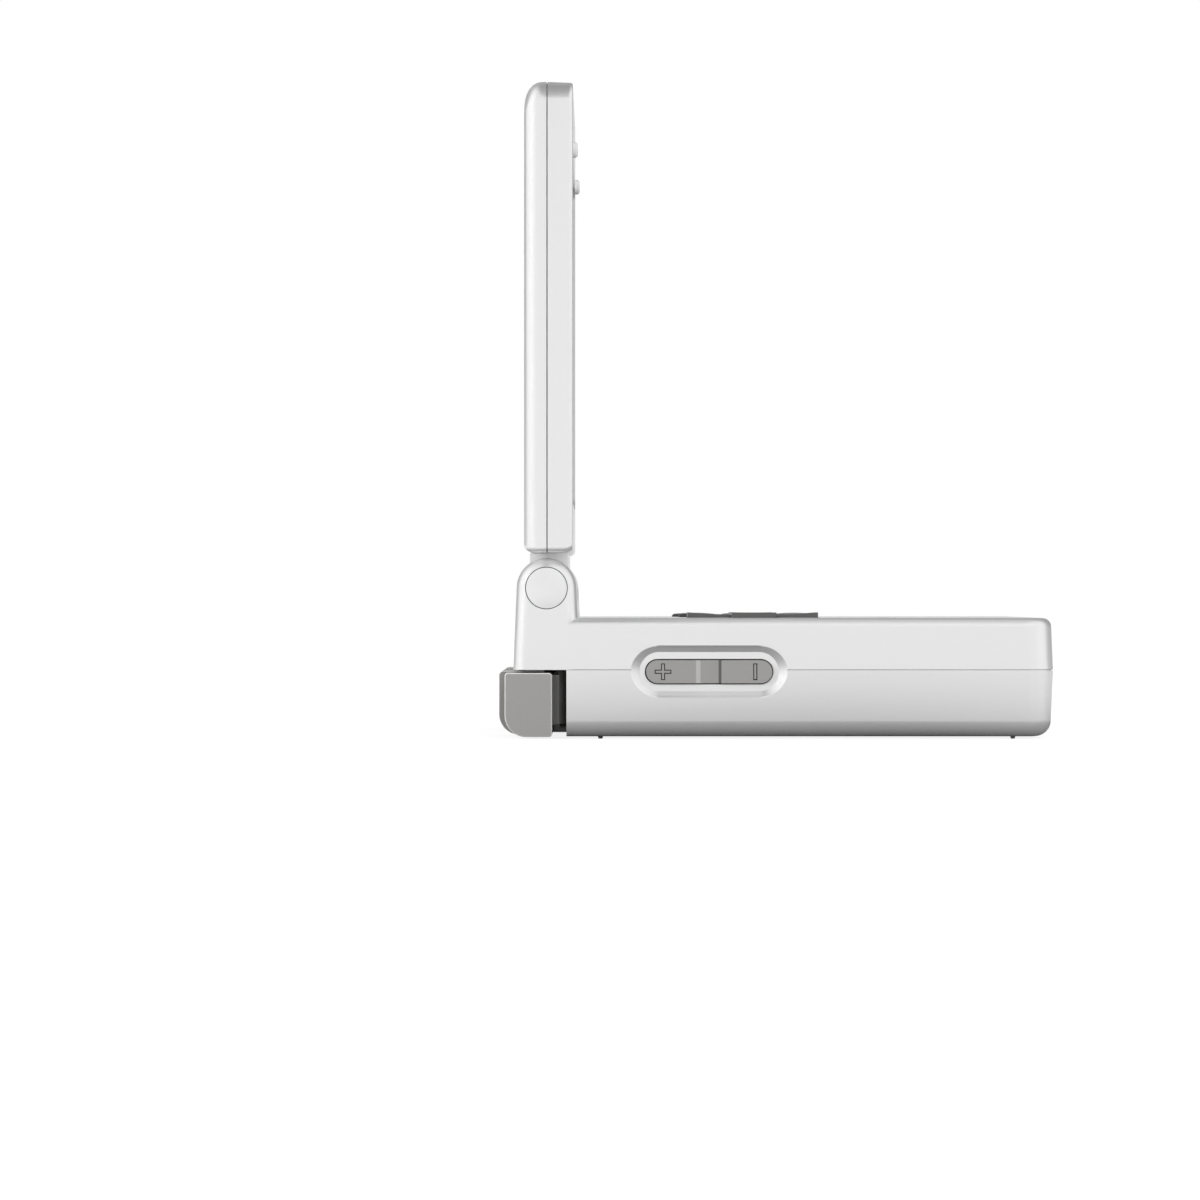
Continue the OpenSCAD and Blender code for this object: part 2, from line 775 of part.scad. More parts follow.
module lid_bumpers() {
    color(shell_white) upright()
        for (s = [-1, 1]) translate([s * bumper_x, bumper_at, lid_face - 0.8]) {
            cylinder(r = bumper_r, h = 0.8 + bumper_h - 0.3);
            translate([0, 0, 0.5 + bumper_h - eps]) cylinder(r1 = bumper_r, r2 = bumper_r - 0.3, h = 0.3);
        }
}

module lid_screws() {
    color(steel) upright() lid_boss_places() {
        translate([0, 0, lid_rear + 1.1]) cylinder(r = screw_r, h = seam_reach + 1.4 - lid_rear - 1.1);
    }
}

module display_cable_lid() {
    color(copper) {
        on_hinge(1) translate([0, 0, cable_x0 + 0.5]) difference() {
            cylinder(r = cable_roll_r, h = ear_in + sleeve_in_ear - cable_x0 - 0.7);
            translate([0, 0, -over])
                cylinder(r = cable_roll_r - flex_t, h = ear_in + sleeve_in_ear - cable_x0 + 2 * over);
        }
        upright() translate([cable_x0 + 0.5, cable_roll_r - flex_t, seam_reach + 0.25])
            cube([cable_w, lcd_low - fit_gap - cable_roll_r + flex_t, flex_t]);
    }
}

// ---------- inside the base ----------

module display_cable_base() {
    plug_y = board_rear - 6.5;
    color(copper) translate([cable_pocket_x + 0.4, 0, 0]) {
        translate([0, flex_y, flex_run_z]) cube([flex_t, flex_w, hinge_z - flex_run_z + 1]);
        translate([0, plug_y, flex_run_z]) cube([flex_t, flex_y + flex_w - plug_y, flex_w / 2]);
        translate([0, plug_y, board_top]) cube([flex_t, flex_w, flex_run_z - board_top + eps]);
        translate([-3, plug_y, board_top]) cube([3 + flex_t, flex_w, flex_t]);
    }
}

module main_board() {
    color(board_green) translate([0, 0, board_z]) difference() {
        union() {
            translate([0, (board_front + board_rear) / 2, 0]) linear_extrude(board_t)
                round_rect([2 * board_half_w, board_rear - board_front], 3);
            translate([-port_half_w + port_wall + 0.4, board_rear - over, 0])
                cube([2 * (port_half_w - port_wall - 0.4), rear_y - wall - 2 - board_rear + over, board_t]);
        }
        case_boss_places() translate([0, 0, -over]) cylinder(r = screw_r + 0.3, h = board_t + 2 * over);
    }
}

module battery() {
    color(black) translate([battery_x, battery_front + battery_len / 2, floor_z])
        linear_extrude(battery_t) round_rect([battery_w, battery_len], 1.5);
}

module speakers() {
    color(black) for (s = [-1, 1])
        translate([s * speaker_x, speaker_y, deck_under - speaker_size[2] - 0.1])
            linear_extrude(speaker_size[2]) round_rect([speaker_size[0], speaker_size[1]], 1.5);
}

module dome(r, top) {
    cylinder(r1 = r + 0.8, r2 = r, h = top - board_top - membrane_t);
}

module button_membrane() {
    size = 2 * (button_ring_r + stem_r + 1.2);
    color(rubber) {
        translate([pad_x, pad_y, board_top]) linear_extrude(membrane_t) round_rect([size, size], 3);
        translate([0, 0, board_top + membrane_t - eps]) diamond_places() dome(stem_r, dome_top);
    }
}

module menu_membrane() {
    color(rubber) {
        translate([0, pill_y, board_top]) linear_extrude(membrane_t) round_rect([2 * pill_x + 9, 7], 2);
        translate([0, (pill_y + menu_y) / 2, board_top]) linear_extrude(membrane_t)
            square([4, menu_y - pill_y], center = true);
        translate([0, menu_y, board_top]) cylinder(r = 3.6, h = membrane_t);
        for (p = [[-pill_x, pill_y], [pill_x, pill_y], [0, menu_y]])
            translate([p[0], p[1], board_top + membrane_t - eps]) dome(1.2, dome_top);
    }
}

module socket_shell(len) {
    rotate([90, 0, 0]) linear_extrude(len) children();
}

module usb_c_socket() {
    color(steel) translate([usb_x, rear_y - 0.35, port_z]) {
        difference() {
            socket_shell(usb_len) stadium(usb_w, usb_h);
            translate([0, over, 0]) socket_shell(usb_len + over - 0.8) stadium(usb_w - 0.6, usb_h - 0.6);
        }
        translate([-3.3, -usb_len + 0.4, -0.35]) cube([6.6, usb_len - 1, 0.7]);
    }
}

module mini_hdmi_socket() {
    color(steel) translate([hdmi_x, rear_y - 0.35, port_z]) {
        difference() {
            socket_shell(hdmi_len) hdmi_plan(0);
            translate([0, over, 0]) socket_shell(hdmi_len + over - 0.8) hdmi_plan(-0.35);
        }
        translate([-3.6, -hdmi_len + 0.4, -0.4]) cube([7.2, hdmi_len - 1.2, 0.8]);
    }
}

module headphone_socket() {
    color(black) translate([jack_x, front_y + 0.45, jack_z]) difference() {
        union() {
            rotate([-90, 0, 0]) cylinder(r = jack_nose_r, h = 3);
            translate([-3.2, 2.4, -jack_nose_r]) cube([6.4, jack_len - 2.4, 2 * jack_nose_r]);
        }
        translate([0, -over, 0]) rotate([-90, 0, 0]) cylinder(r = jack_r, h = jack_len - 1 + over);
    }
}

module card_readers() {
    color(steel) for (y = card_y)
        translate([side_x - wall - 1 - card_reader_len, y - card_reader_w / 2, board_z - card_reader_t - 0.02])
            difference() {
                cube([card_reader_len, card_reader_w, card_reader_t]);
                translate([1, (card_reader_w - card_slot_w) / 2, 0.3])
                    cube([card_reader_len, card_slot_w, card_slot_h - 0.1]);
            }
}

// A small push switch on a little board, its plunger along +z.
module push_switch(size, plunger_h) {
    translate([-size[0] / 2, -size[1] / 2, 0]) cube(size);
    translate([0, 0, size[2] - eps]) cylinder(r = 0.6, h = plunger_h);
}

module volume_switches() {
    board_w = rocker_len - 2;
    color(board_green) translate([-rocker_board_x + 0.1, rocker_y - board_w / 2, board_top])
        cube([0.8, board_w, 3.6]);
    color(steel) for (s = [-1, 1])
        translate([-rocker_board_x + 0.1 + eps, rocker_y + s * rocker_len * 0.34, board_top + 1])
            rotate([0, -90, 0]) push_switch([1.8, 3, 0.7], 0.3);
}

module side_switches() {
    for (y = [power_y, reset_y]) {
        color(steel) translate([side_x - wall - 4.3, y, side_button_z]) rotate([0, 90, 0])
            push_switch([3, 3.4, 0.9], 0.4);
        color(board_green) translate([side_x - wall - 5.1, y - 2, board_z - 4])
            cube([0.8, 4, 3.98]);
    }
}

module shoulder_switches() {
    for (s = [-1, 1])
        for (x = [trigger_mid(0), trigger_mid(1)])
            color(black) translate([s * x, room_y, base_z + 3]) rotate([-90, 0, 0])
                push_switch([4, 3, trigger_room - 1.2], 0.35);
}

function trigger_mid(inner) = inner == 0
    ? side_x - outer_trigger_w / 2
    : port_half_w + 2 * trigger_gap + lug_t + inner_trigger_w / 2;

module shoulder_pin() {
    color(steel) translate([-side_x + 2, trigger_pivot[0], trigger_pivot[1]]) rotate([0, 90, 0])
        cylinder(r = trigger_pin_r, h = side_x - 2 - port_half_w - trigger_gap);
}

module shoulder_pin_left() { shoulder_pin(); }
module shoulder_pin_right() { mirror([1, 0, 0]) shoulder_pin(); }

// ---------- direction pad ----------

module dpad_rubber() {
    low = board_top + plunge + fit_gap;
    color(rubber) translate([-pad_x, pad_y, 0]) {
        translate([0, 0, low]) cylinder(r = dpad_rubber_r, h = 1);
        translate([0, 0, low + 1 - eps]) cylinder(r1 = 8, r2 = pivot_r + 0.8,
            h = pivot_z - pivot_t - pivot_gap - low - 1);
    }
}

module dpad_pivot() {
    color(button_grey) translate([-pad_x, pad_y, 0]) {
        translate([0, 0, pivot_z - pivot_t]) cylinder(r = pivot_r, h = pivot_t);
        translate([0, 0, pivot_z - eps]) cylinder(r = pivot_pin_r, h = 1);
    }
}

module dpad() {
    dish_reach = dpad_len / 2 + 0.8;
    dish_r = (dish_reach * dish_reach + dpad_dish * dpad_dish) / (2 * dpad_dish);
    top = deck_z + dpad_rise;
    color(button_grey) translate([-pad_x, pad_y, 0]) difference() {
        union() {
            translate([0, 0, dpad_flange_low]) cylinder(r = dpad_flange_r, h = dpad_flange_t);
            translate([0, 0, dpad_flange_low]) linear_extrude(top - dpad_flange_low) dpad_plan(0);
        }
        translate([0, 0, top - dpad_dish + dish_r]) sphere(r = dish_r, $fn = 128);
        translate([0, 0, dpad_flange_low - over]) cylinder(r = pivot_pin_r + 0.5, h = over + 1.3);
    }
}

// ---------- buttons ----------

// A round button: a slightly crowned cap with a rounded rim, held under the deck by its flange.
module round_button(r) {
    crown_r = 8 * r;
    top = deck_z + button_rise;
    rim_z = top - crown_r + sqrt(crown_r * crown_r - r * r) - button_edge_r;
    color(button_grey) {
        intersection() {
            union() {
                translate([0, 0, flange_top - eps]) cylinder(r = r, h = rim_z - flange_top + eps);
                translate([0, 0, rim_z - eps]) rotate_extrude() {
                    square([r - button_edge_r, crown_r - sqrt(crown_r * crown_r - r * r) + button_edge_r + eps]);
                    intersection() {
                        translate([r - button_edge_r, eps]) circle(r = button_edge_r);
                        translate([r - button_edge_r, 0]) square(button_edge_r + eps);
                    }
                }
            }
            translate([0, 0, top - crown_r]) sphere(r = crown_r, $fn = 128);
        }
        translate([0, 0, flange_top - flange_t]) cylinder(r = r + 0.7, h = flange_t);
        translate([0, 0, stem_low]) cylinder(r = min(stem_r, r - 0.6), h = flange_top - flange_t - stem_low + eps);
    }
}

module pill_button() {
    color(button_grey) {
        translate([0, 0, flange_top - eps]) linear_extrude(pill_top - pill_edge_t - flange_top + eps)
            stadium(pill_len, pill_w);
        translate([0, 0, pill_top - pill_edge_t - eps]) linear_extrude(pill_edge_t + eps)
            stadium(pill_len - 0.4, pill_w - 0.4);
        translate([0, 0, flange_top - flange_t]) linear_extrude(flange_t)
            stadium(pill_len + 1.4, pill_w + 1.4);
        translate([0, 0, stem_low]) cylinder(r = 1.2, h = flange_top - flange_t - stem_low + eps);
    }
}

module diamond_button(a) {
    translate([pad_x + button_ring_r * cos(a), pad_y + button_ring_r * sin(a), 0])
        round_button(button_r);
}

module button_east() { diamond_button(0); }
module button_north() { diamond_button(90); }
module button_west() { diamond_button(180); }
module button_south() { diamond_button(270); }
module start_button() { translate([pill_x, pill_y, 0]) pill_button(); }
module select_button() { translate([-pill_x, pill_y, 0]) pill_button(); }
module menu_button() { translate([0, menu_y, 0]) round_button(menu_r); }

// ---------- side controls ----------

module volume_rocker() {
    flange_t = 0.8;
    inner_len = rocker_len + 2.2;
    color(trigger_grey) on_side(-1, rocker_y, rocker_z) difference() {
        union() {
            translate([0, 0, rocker_back_x]) linear_extrude(rocker_face_x - rocker_back_x)
                stadium(rocker_len, rocker_h);
            translate([0, 0, rocker_back_x]) linear_extrude(flange_t)
                stadium(inner_len, rocker_h + 1.4);
        }
        translate([0, rocker_h, rocker_face_x - rocker_trough_t]) rotate([90, 0, 0])
            linear_extrude(2 * rocker_h) polygon([[rocker_trough[1], 0], [rocker_trough[2], 0],
                [rocker_trough[3], rocker_trough_t + eps], [rocker_trough[3], over],
                [rocker_trough[0], over], [rocker_trough[0], rocker_trough_t + eps]]);
    }
}

module power_button() {
    color(trigger_grey) on_side(1, power_y, side_button_z) {
        translate([0, 0, side_x - wall - 1.4]) linear_extrude(wall + 1.4 - 0.5 + 0.3)
            stadium(power_len, power_w);
        translate([0, 0, side_x - wall - 1.9]) linear_extrude(0.8)
            stadium(power_len + 1.2, power_w + 1.2);
    }
}

module reset_button() {
    color(trigger_grey) on_side(1, reset_y, side_button_z) {
        translate([0, 0, side_x - wall - 1.4]) cylinder(r = reset_r, h = wall + 1.4 - 0.5);
        translate([0, 0, side_x - wall - 1.9]) cylinder(r = reset_r + 0.6, h = 0.8);
    }
}

// ---------- shoulder buttons ----------

// Section of a shoulder button, drawn as [distance behind the hinge axis, height].
module trigger_section(reach, top, top_r) {
    front = -trigger_front_reach;
    difference() {
        translate([front, trigger_low_z]) square([reach - front, top - trigger_low_z]);
        translate([reach, trigger_low_z]) mirror([1, 0]) corner_cut(trigger_edge_r);
        translate([reach, top]) rotate(180) corner_cut(top_r);
        translate([front, trigger_low_z]) corner_cut(trigger_small_r);
        translate([front, top]) mirror([0, 1]) corner_cut(trigger_small_r);
    }
}

// A left shoulder button from x0 to x1 with the pin's bore up to bore_end.
module trigger(x0, x1, reach, top, top_r, bore_end) {
    color(trigger_grey) difference() {
        translate([x0, hinge_y, 0]) rotate([90, 0, 90]) linear_extrude(x1 - x0)
            trigger_section(reach, top, top_r);
        translate([bore_end, trigger_pivot[0], trigger_pivot[1]]) rotate([0, 90, 0])
            cylinder(r = trigger_pin_r + fit_gap, h = x1 - bore_end + over);
    }
}

module outer_trigger() {
    trigger(-side_x + 0.1, -side_x + outer_trigger_w, outer_trigger_reach, trigger_top_z,
        trigger_small_r, -side_x + 1.6);
    // the web that closes most of the gap in front of the button
    web_y = hinge_y - trigger_front_reach - web_reach;
    color(trigger_grey) translate([-side_x + web_back, web_y, base_z + web_low])
        cube([web_t, web_reach + over, trigger_top_z - base_z - web_low - 0.3]);
}

module inner_trigger() {
    x1 = -port_half_w - 2 * trigger_gap - lug_t;
    trigger(x1 - inner_trigger_w, x1, rear_reach, trigger_top_z + 0.15, 0.8,
        x1 - inner_trigger_w - over);
}

module shoulder_l1() { outer_trigger(); }
module shoulder_l2() { inner_trigger(); }
module shoulder_r1() { mirror([1, 0, 0]) outer_trigger(); }
module shoulder_r2() { mirror([1, 0, 0]) inner_trigger(); }

base_upper_shell();
base_lower_shell();
case_screws();
hinge_cap_left();
hinge_cap_right();
hinge_shaft();
hinge_friction_unit();
hinge_cable_sleeve();
lid_rear_cover();
lid_front_frame();
screen_lens();
lcd_panel();
lid_bumpers();
lid_screws();
display_cable_lid();
display_cable_base();
main_board();
battery();
speakers();
button_membrane();
menu_membrane();
usb_c_socket();
mini_hdmi_socket();
headphone_socket();
card_readers();
volume_switches();
side_switches();
shoulder_switches();
shoulder_pin_left();
shoulder_pin_right();
dpad_rubber();
dpad_pivot();
dpad();
button_north();
button_south();
button_east();
button_west();
start_button();
select_button();
menu_button();
volume_rocker();
power_button();
reset_button();
shoulder_l1();
shoulder_l2();
shoulder_r1();
shoulder_r2();
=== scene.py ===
"""Looks of a clamshell handheld game console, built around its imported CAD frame. Metres."""
import json
import math

import bmesh
import bpy
from mathutils import Matrix, Vector


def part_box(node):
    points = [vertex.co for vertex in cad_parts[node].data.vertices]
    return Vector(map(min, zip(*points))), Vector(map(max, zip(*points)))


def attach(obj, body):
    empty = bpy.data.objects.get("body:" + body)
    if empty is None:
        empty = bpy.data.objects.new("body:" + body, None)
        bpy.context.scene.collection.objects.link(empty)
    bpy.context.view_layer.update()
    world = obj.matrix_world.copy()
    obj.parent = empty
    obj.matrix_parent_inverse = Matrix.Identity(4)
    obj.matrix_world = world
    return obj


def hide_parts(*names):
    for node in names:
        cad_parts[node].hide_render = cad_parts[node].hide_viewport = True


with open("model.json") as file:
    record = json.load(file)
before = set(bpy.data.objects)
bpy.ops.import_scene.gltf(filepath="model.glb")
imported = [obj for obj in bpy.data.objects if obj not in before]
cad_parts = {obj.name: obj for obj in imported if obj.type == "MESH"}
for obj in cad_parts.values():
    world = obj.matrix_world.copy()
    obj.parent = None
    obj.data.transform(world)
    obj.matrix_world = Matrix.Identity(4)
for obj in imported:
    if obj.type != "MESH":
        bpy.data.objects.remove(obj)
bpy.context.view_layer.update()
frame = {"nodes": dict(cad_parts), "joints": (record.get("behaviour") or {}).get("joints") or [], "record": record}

MM = 0.001
lid_hinge = next(joint for joint in frame["joints"] if joint["name"] == "lid_hinge")
HINGE_Y, HINGE_Z = Vector(lid_hinge["pos_m"]).yz


# ---------- shader groups ----------

def new_group(name, inputs, outputs):
    """An empty shader group with named sockets; returned with its nodes, its input and its output node."""
    group = bpy.data.node_groups.new(name, "ShaderNodeTree")
    for label, kind, value in inputs:
        socket = group.interface.new_socket(label, in_out="INPUT", socket_type=kind)
        socket.default_value = value
    for label, kind in outputs:
        group.interface.new_socket(label, in_out="OUTPUT", socket_type=kind)
    nodes = group.nodes
    return group, nodes, nodes.new("NodeGroupInput"), nodes.new("NodeGroupOutput")


def math_node(nodes, links, operation, a, b=None):
    """The output of a new Math node; a and b are numbers or other nodes' outputs."""
    node = nodes.new("ShaderNodeMath")
    node.operation = operation
    for socket, value in zip(node.inputs, (a, b)):
        if isinstance(value, (int, float)):
            socket.default_value = value
        elif value is not None:
            links.new(value, socket)
    return node.outputs[0]


NOISE_TURN = (0.61, 0.83, 0.37)  # keeps the noise's own cells off the flat faces
DRIFT_PER_METRE = 38.0
DRIFT_DETAIL = 3.0
GRAIN_SHARE = 0.6  # of the grain in the tone, beside the slow drift


def moulded_surface_group():
    """Fine grain and slow tone drift of a moulded plastic skin."""
    group, nodes, ins, outs = new_group(
        "moulded_surface",
        [("Grain per metre", "NodeSocketFloat", 3000.0), ("Tone drift", "NodeSocketFloat", 0.02),
         ("Roughness", "NodeSocketFloat", 0.4), ("Roughness drift", "NodeSocketFloat", 0.05),
         ("Colour", "NodeSocketColor", (0.8, 0.8, 0.8, 1))],
        [("Colour", "NodeSocketColor"), ("Roughness", "NodeSocketFloat"), ("Height", "NodeSocketFloat")])
    links = group.links
    place = nodes.new("ShaderNodeTexCoord")
    turned = nodes.new("ShaderNodeMapping")
    turned.inputs["Rotation"].default_value = NOISE_TURN
    links.new(place.outputs["Object"], turned.inputs["Vector"])
    grain = nodes.new("ShaderNodeTexNoise")
    grain.inputs["Detail"].default_value = 0.0
    drift = nodes.new("ShaderNodeTexNoise")
    drift.inputs["Scale"].default_value = DRIFT_PER_METRE
    drift.inputs["Detail"].default_value = DRIFT_DETAIL
    links.new(turned.outputs["Vector"], grain.inputs["Vector"])
    links.new(turned.outputs["Vector"], drift.inputs["Vector"])
    links.new(ins.outputs["Grain per metre"], grain.inputs["Scale"])
    centred = math_node(nodes, links, "SUBTRACT", drift.outputs["Fac"], 0.5)
    speck = math_node(nodes, links, "SUBTRACT", grain.outputs["Fac"], 0.5)
    both = math_node(nodes, links, "ADD", centred, math_node(nodes, links, "MULTIPLY", speck, GRAIN_SHARE))
    uneven = math_node(nodes, links, "MULTIPLY", both, ins.outputs["Tone drift"])
    tone = math_node(nodes, links, "ADD", uneven, 1.0)
    scaled = nodes.new("ShaderNodeVectorMath")
    scaled.operation = "SCALE"
    links.new(ins.outputs["Colour"], scaled.inputs[0])
    links.new(tone, scaled.inputs["Scale"])
    links.new(scaled.outputs[0], outs.inputs["Colour"])
    wear = math_node(nodes, links, "MULTIPLY", centred, ins.outputs["Roughness drift"])
    links.new(math_node(nodes, links, "ADD", wear, ins.outputs["Roughness"]), outs.inputs["Roughness"])
    links.new(grain.outputs["Fac"], outs.inputs["Height"])
    return group


MOULDED = moulded_surface_group()


def set_sockets(shader, **values):
    """Sets a shader's own sockets; an underscore in a keyword stands for a space in the socket's label."""
    for label, value in values.items():
        shader.inputs[label.replace("_", " ")].default_value = value


def plastic(name, colour, roughness, grain=1400.0, bump=0.0000025, tone=0.02, drift=0.05, **sockets):
    """A moulded plastic: colour, roughness and fine bump come from the shared group."""
    mat = bpy.data.materials.new(name)
    mat.use_nodes = True
    nodes, links = mat.node_tree.nodes, mat.node_tree.links
    shader = nodes["Principled BSDF"]
    skin = nodes.new("ShaderNodeGroup")
    skin.node_tree = MOULDED
    skin.inputs["Grain per metre"].default_value = grain
    skin.inputs["Tone drift"].default_value = tone
    skin.inputs["Roughness"].default_value = roughness
    skin.inputs["Roughness drift"].default_value = drift
    skin.inputs["Colour"].default_value = (*colour, 1)
    bump_node = nodes.new("ShaderNodeBump")
    bump_node.inputs["Distance"].default_value = bump
    links.new(skin.outputs["Colour"], shader.inputs["Base Color"])
    links.new(skin.outputs["Roughness"], shader.inputs["Roughness"])
    links.new(skin.outputs["Height"], bump_node.inputs["Height"])
    links.new(bump_node.outputs["Normal"], shader.inputs["Normal"])
    set_sockets(shader, **sockets)
    mat.diffuse_color = (*colour, 1)
    return mat


# A visible finish keeps its roughness, drift and all, clear of 0.274: a renderer's clean-up pass changes
# its ways there and leaves faint contour lines on the surface.
SHELL = plastic("satin_silver_white", (0.86, 0.86, 0.86), 0.305, drift=0.03, Metallic=0.68)
CONTROL_GREY = plastic("satin_mid_grey", (0.325, 0.32, 0.315), 0.42, tone=0.04)
# A lighter grey on the grey controls' broken edges: a painted highlight.
GREY_EDGE_PAINTED_HIGHLIGHT = plastic("grey_edge_painted_highlight", (0.68, 0.675, 0.67), 0.34, tone=0.06)
# A lighter grey on the rocker's front-facing slope: a painted highlight.
SLOPE_PAINTED_HIGHLIGHT = plastic("rocker_slope_painted_highlight", (0.47, 0.465, 0.46), 0.35, tone=0.04)
# A dark grey that stands in for shade: painted shade on a trigger's web, on the guards in the gaps and on the
# rocker's rear-facing slope.
GREY_PAINTED_SHADE = plastic("grey_painted_shade", (0.1, 0.098, 0.096), 0.5, tone=0.05)
BUTTON_DARK = plastic("button_dark_grey", (0.085, 0.085, 0.083), 0.34, tone=0.05)
BUMPER = plastic("soft_white_rubber", (0.9, 0.9, 0.9), 0.6, grain=5000.0, tone=0.03)
# Black: the colour of the inner plastic parts, and painted shade in gaps and grooves.
BLACK_INSIDE_AND_PAINTED_SHADE = plastic("black_inside_and_painted_shade", (0.02, 0.02, 0.021), 0.5, tone=0.05)
DARK_RUBBER = plastic("dark_rubber", (0.06, 0.06, 0.062), 0.7, tone=0.05)
BOARD = plastic("solder_mask", (0.02, 0.10, 0.045), 0.34, tone=0.2)
FLEX = plastic("polyimide_flex", (0.32, 0.14, 0.03), 0.25, tone=0.1)
STEEL = plastic("plain_steel", (0.55, 0.55, 0.56), 0.34, tone=0.1, drift=0.08, Metallic=1.0)


DISPLAY_HALF_WIDTH = 35.4 * MM
DISPLAY_HALF_HEIGHT = 26.5 * MM
LENS_BORDER = (0.009, 0.009, 0.01, 1)
LENS_OVER_DISPLAY = (0.022, 0.024, 0.029, 1)


def lens_material():
    """Polished black lens; the display's area behind it is a shade lighter than the printed border."""
    mat = plastic("polished_lens", (0.012, 0.012, 0.013), 0.07, bump=0.0, tone=0.0, drift=0.02)
    nodes, links = mat.node_tree.nodes, mat.node_tree.links
    place = nodes.new("ShaderNodeTexCoord")
    parts = nodes.new("ShaderNodeSeparateXYZ")
    links.new(place.outputs["Object"], parts.inputs[0])
    low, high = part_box("screen_lens")
    middle = (low + high) / 2
    masks = []
    for axis, centre, half in (("X", middle.x, DISPLAY_HALF_WIDTH), ("Z", middle.z, DISPLAY_HALF_HEIGHT)):
        shifted = math_node(nodes, links, "SUBTRACT", parts.outputs[axis], centre)
        away = math_node(nodes, links, "ABSOLUTE", shifted)
        masks.append(math_node(nodes, links, "LESS_THAN", away, half))
    mix = nodes.new("ShaderNodeMix")
    mix.data_type = "RGBA"
    links.new(math_node(nodes, links, "MULTIPLY", *masks), mix.inputs["Factor"])
    mix.inputs["A"].default_value = LENS_BORDER
    mix.inputs["B"].default_value = LENS_OVER_DISPLAY
    links.new(mix.outputs["Result"], nodes["Principled BSDF"].inputs["Base Color"])
    return mat


LENS = lens_material()
DISPLAY = plastic("dark_display", (0.01, 0.012, 0.016), 0.2, tone=0.0)

SLOT_MATERIALS = {
    "shell": SHELL, "bumper": BUMPER, "control_grey": CONTROL_GREY, "button_dark": BUTTON_DARK,
    "screen_lens": LENS, "display": DISPLAY, "steel": STEEL, "rubber": DARK_RUBBER,
    "inner_plastic": BLACK_INSIDE_AND_PAINTED_SHADE, "board": BOARD, "flex": FLEX,
}


# ---------- CAD nodes: materials, smooth shading and broken edges ----------

JOIN_DISTANCE = 0.0015 * MM
CORNER_DEGREES = 32  # a sharper edge stays a hard corner
FLAT_DEGREES = 0.4  # facets that meet at less are one flat
BROKEN_EDGE_DEGREES = 38  # sharper edges are bevelled
BEVEL_STEPS = 2
FLAT_WEIGHT = 60  # how far the large faces rule the shading


def smooth_tree():
    """Joins a node's loose triangles and marks only its real corners sharp."""
    tree = bpy.data.node_groups.new("join_and_smooth", "GeometryNodeTree")
    tree.interface.new_socket("Geometry", in_out="INPUT", socket_type="NodeSocketGeometry")
    corner = tree.interface.new_socket("Corner angle", in_out="INPUT", socket_type="NodeSocketFloat")
    corner.default_value = math.radians(CORNER_DEGREES)
    tree.interface.new_socket("Geometry", in_out="OUTPUT", socket_type="NodeSocketGeometry")
    nodes, links = tree.nodes, tree.links
    ins, outs = nodes.new("NodeGroupInput"), nodes.new("NodeGroupOutput")
    merge = nodes.new("GeometryNodeMergeByDistance")
    merge.inputs["Distance"].default_value = JOIN_DISTANCE
    angle = nodes.new("GeometryNodeInputMeshEdgeAngle")
    sharp = nodes.new("FunctionNodeCompare")
    sharp.data_type = "FLOAT"
    sharp.operation = "GREATER_THAN"
    faces = nodes.new("GeometryNodeSetShadeSmooth")
    faces.domain = "FACE"
    edges = nodes.new("GeometryNodeSetShadeSmooth")
    edges.domain = "EDGE"
    edges.inputs["Shade Smooth"].default_value = False
    links.new(ins.outputs["Geometry"], merge.inputs["Geometry"])
    links.new(merge.outputs["Geometry"], faces.inputs["Geometry"])
    links.new(faces.outputs["Geometry"], edges.inputs["Geometry"])
    links.new(angle.outputs["Unsigned Angle"], sharp.inputs["A"])
    links.new(ins.outputs["Corner angle"], sharp.inputs["B"])
    links.new(sharp.outputs["Result"], edges.inputs["Selection"])
    links.new(edges.outputs["Geometry"], outs.inputs["Geometry"])
    return tree


SMOOTH = smooth_tree()


def finish_node(obj, edge_width, edge_slot=-1):
    """Adds the joined smooth skin, a small broken edge, and normals that keep flats flat.

    The broken edge takes the material in edge_slot. Without one it keeps that of its faces, and its
    width gives way where edges lie close together.
    """
    join = obj.modifiers.new("join_and_smooth", "NODES")
    join.node_group = SMOOTH
    if edge_width:
        flats = obj.modifiers.new("whole_flats", "DECIMATE")
        flats.decimate_type = "DISSOLVE"
        flats.angle_limit = math.radians(FLAT_DEGREES)
        flats.delimit = {"MATERIAL"}
        bevel = obj.modifiers.new("broken_edge", "BEVEL")
        bevel.width = edge_width
        bevel.segments = BEVEL_STEPS
        bevel.limit_method = "ANGLE"
        bevel.angle_limit = math.radians(BROKEN_EDGE_DEGREES)
        bevel.use_clamp_overlap = edge_slot < 0
        bevel.material = edge_slot
    normals = obj.modifiers.new("flat_flats", "WEIGHTED_NORMAL")
    normals.keep_sharp = True
    normals.weight = FLAT_WEIGHT


# By a node's name or else by its material slot; the shells and what lies inside keep their own edges.
EDGE_WIDTHS = {"control_grey": 0.12 * MM, "button_dark": 0.15 * MM, "dpad": 0.3 * MM, "bumper": 0.1 * MM}


def dress_cad_nodes():
    """Gives every CAD node its material, a smooth skin and, where it has one, its broken edge."""
    slot_of = {part["node"]: part["material_slot"] for part in frame["record"]["subparts"]}
    for node_name, node in frame["nodes"].items():
        slot_name = slot_of[node_name]
        node.data.materials.clear()
        node.data.materials.append(SLOT_MATERIALS[slot_name])
        edge_slot = -1
        # The grey controls' broken edges take a lighter grey, a painted highlight.
        if slot_name == "control_grey":
            node.data.materials.append(GREY_EDGE_PAINTED_HIGHLIGHT)
            edge_slot = 1
        edge_width = EDGE_WIDTHS.get(node_name, EDGE_WIDTHS.get(slot_name, 0))
        finish_node(node, edge_width, edge_slot)


dress_cad_nodes()


# ---------- copies of CAD nodes, and cuts in them ----------

MERGED_FLAT_DEGREES = 0.5


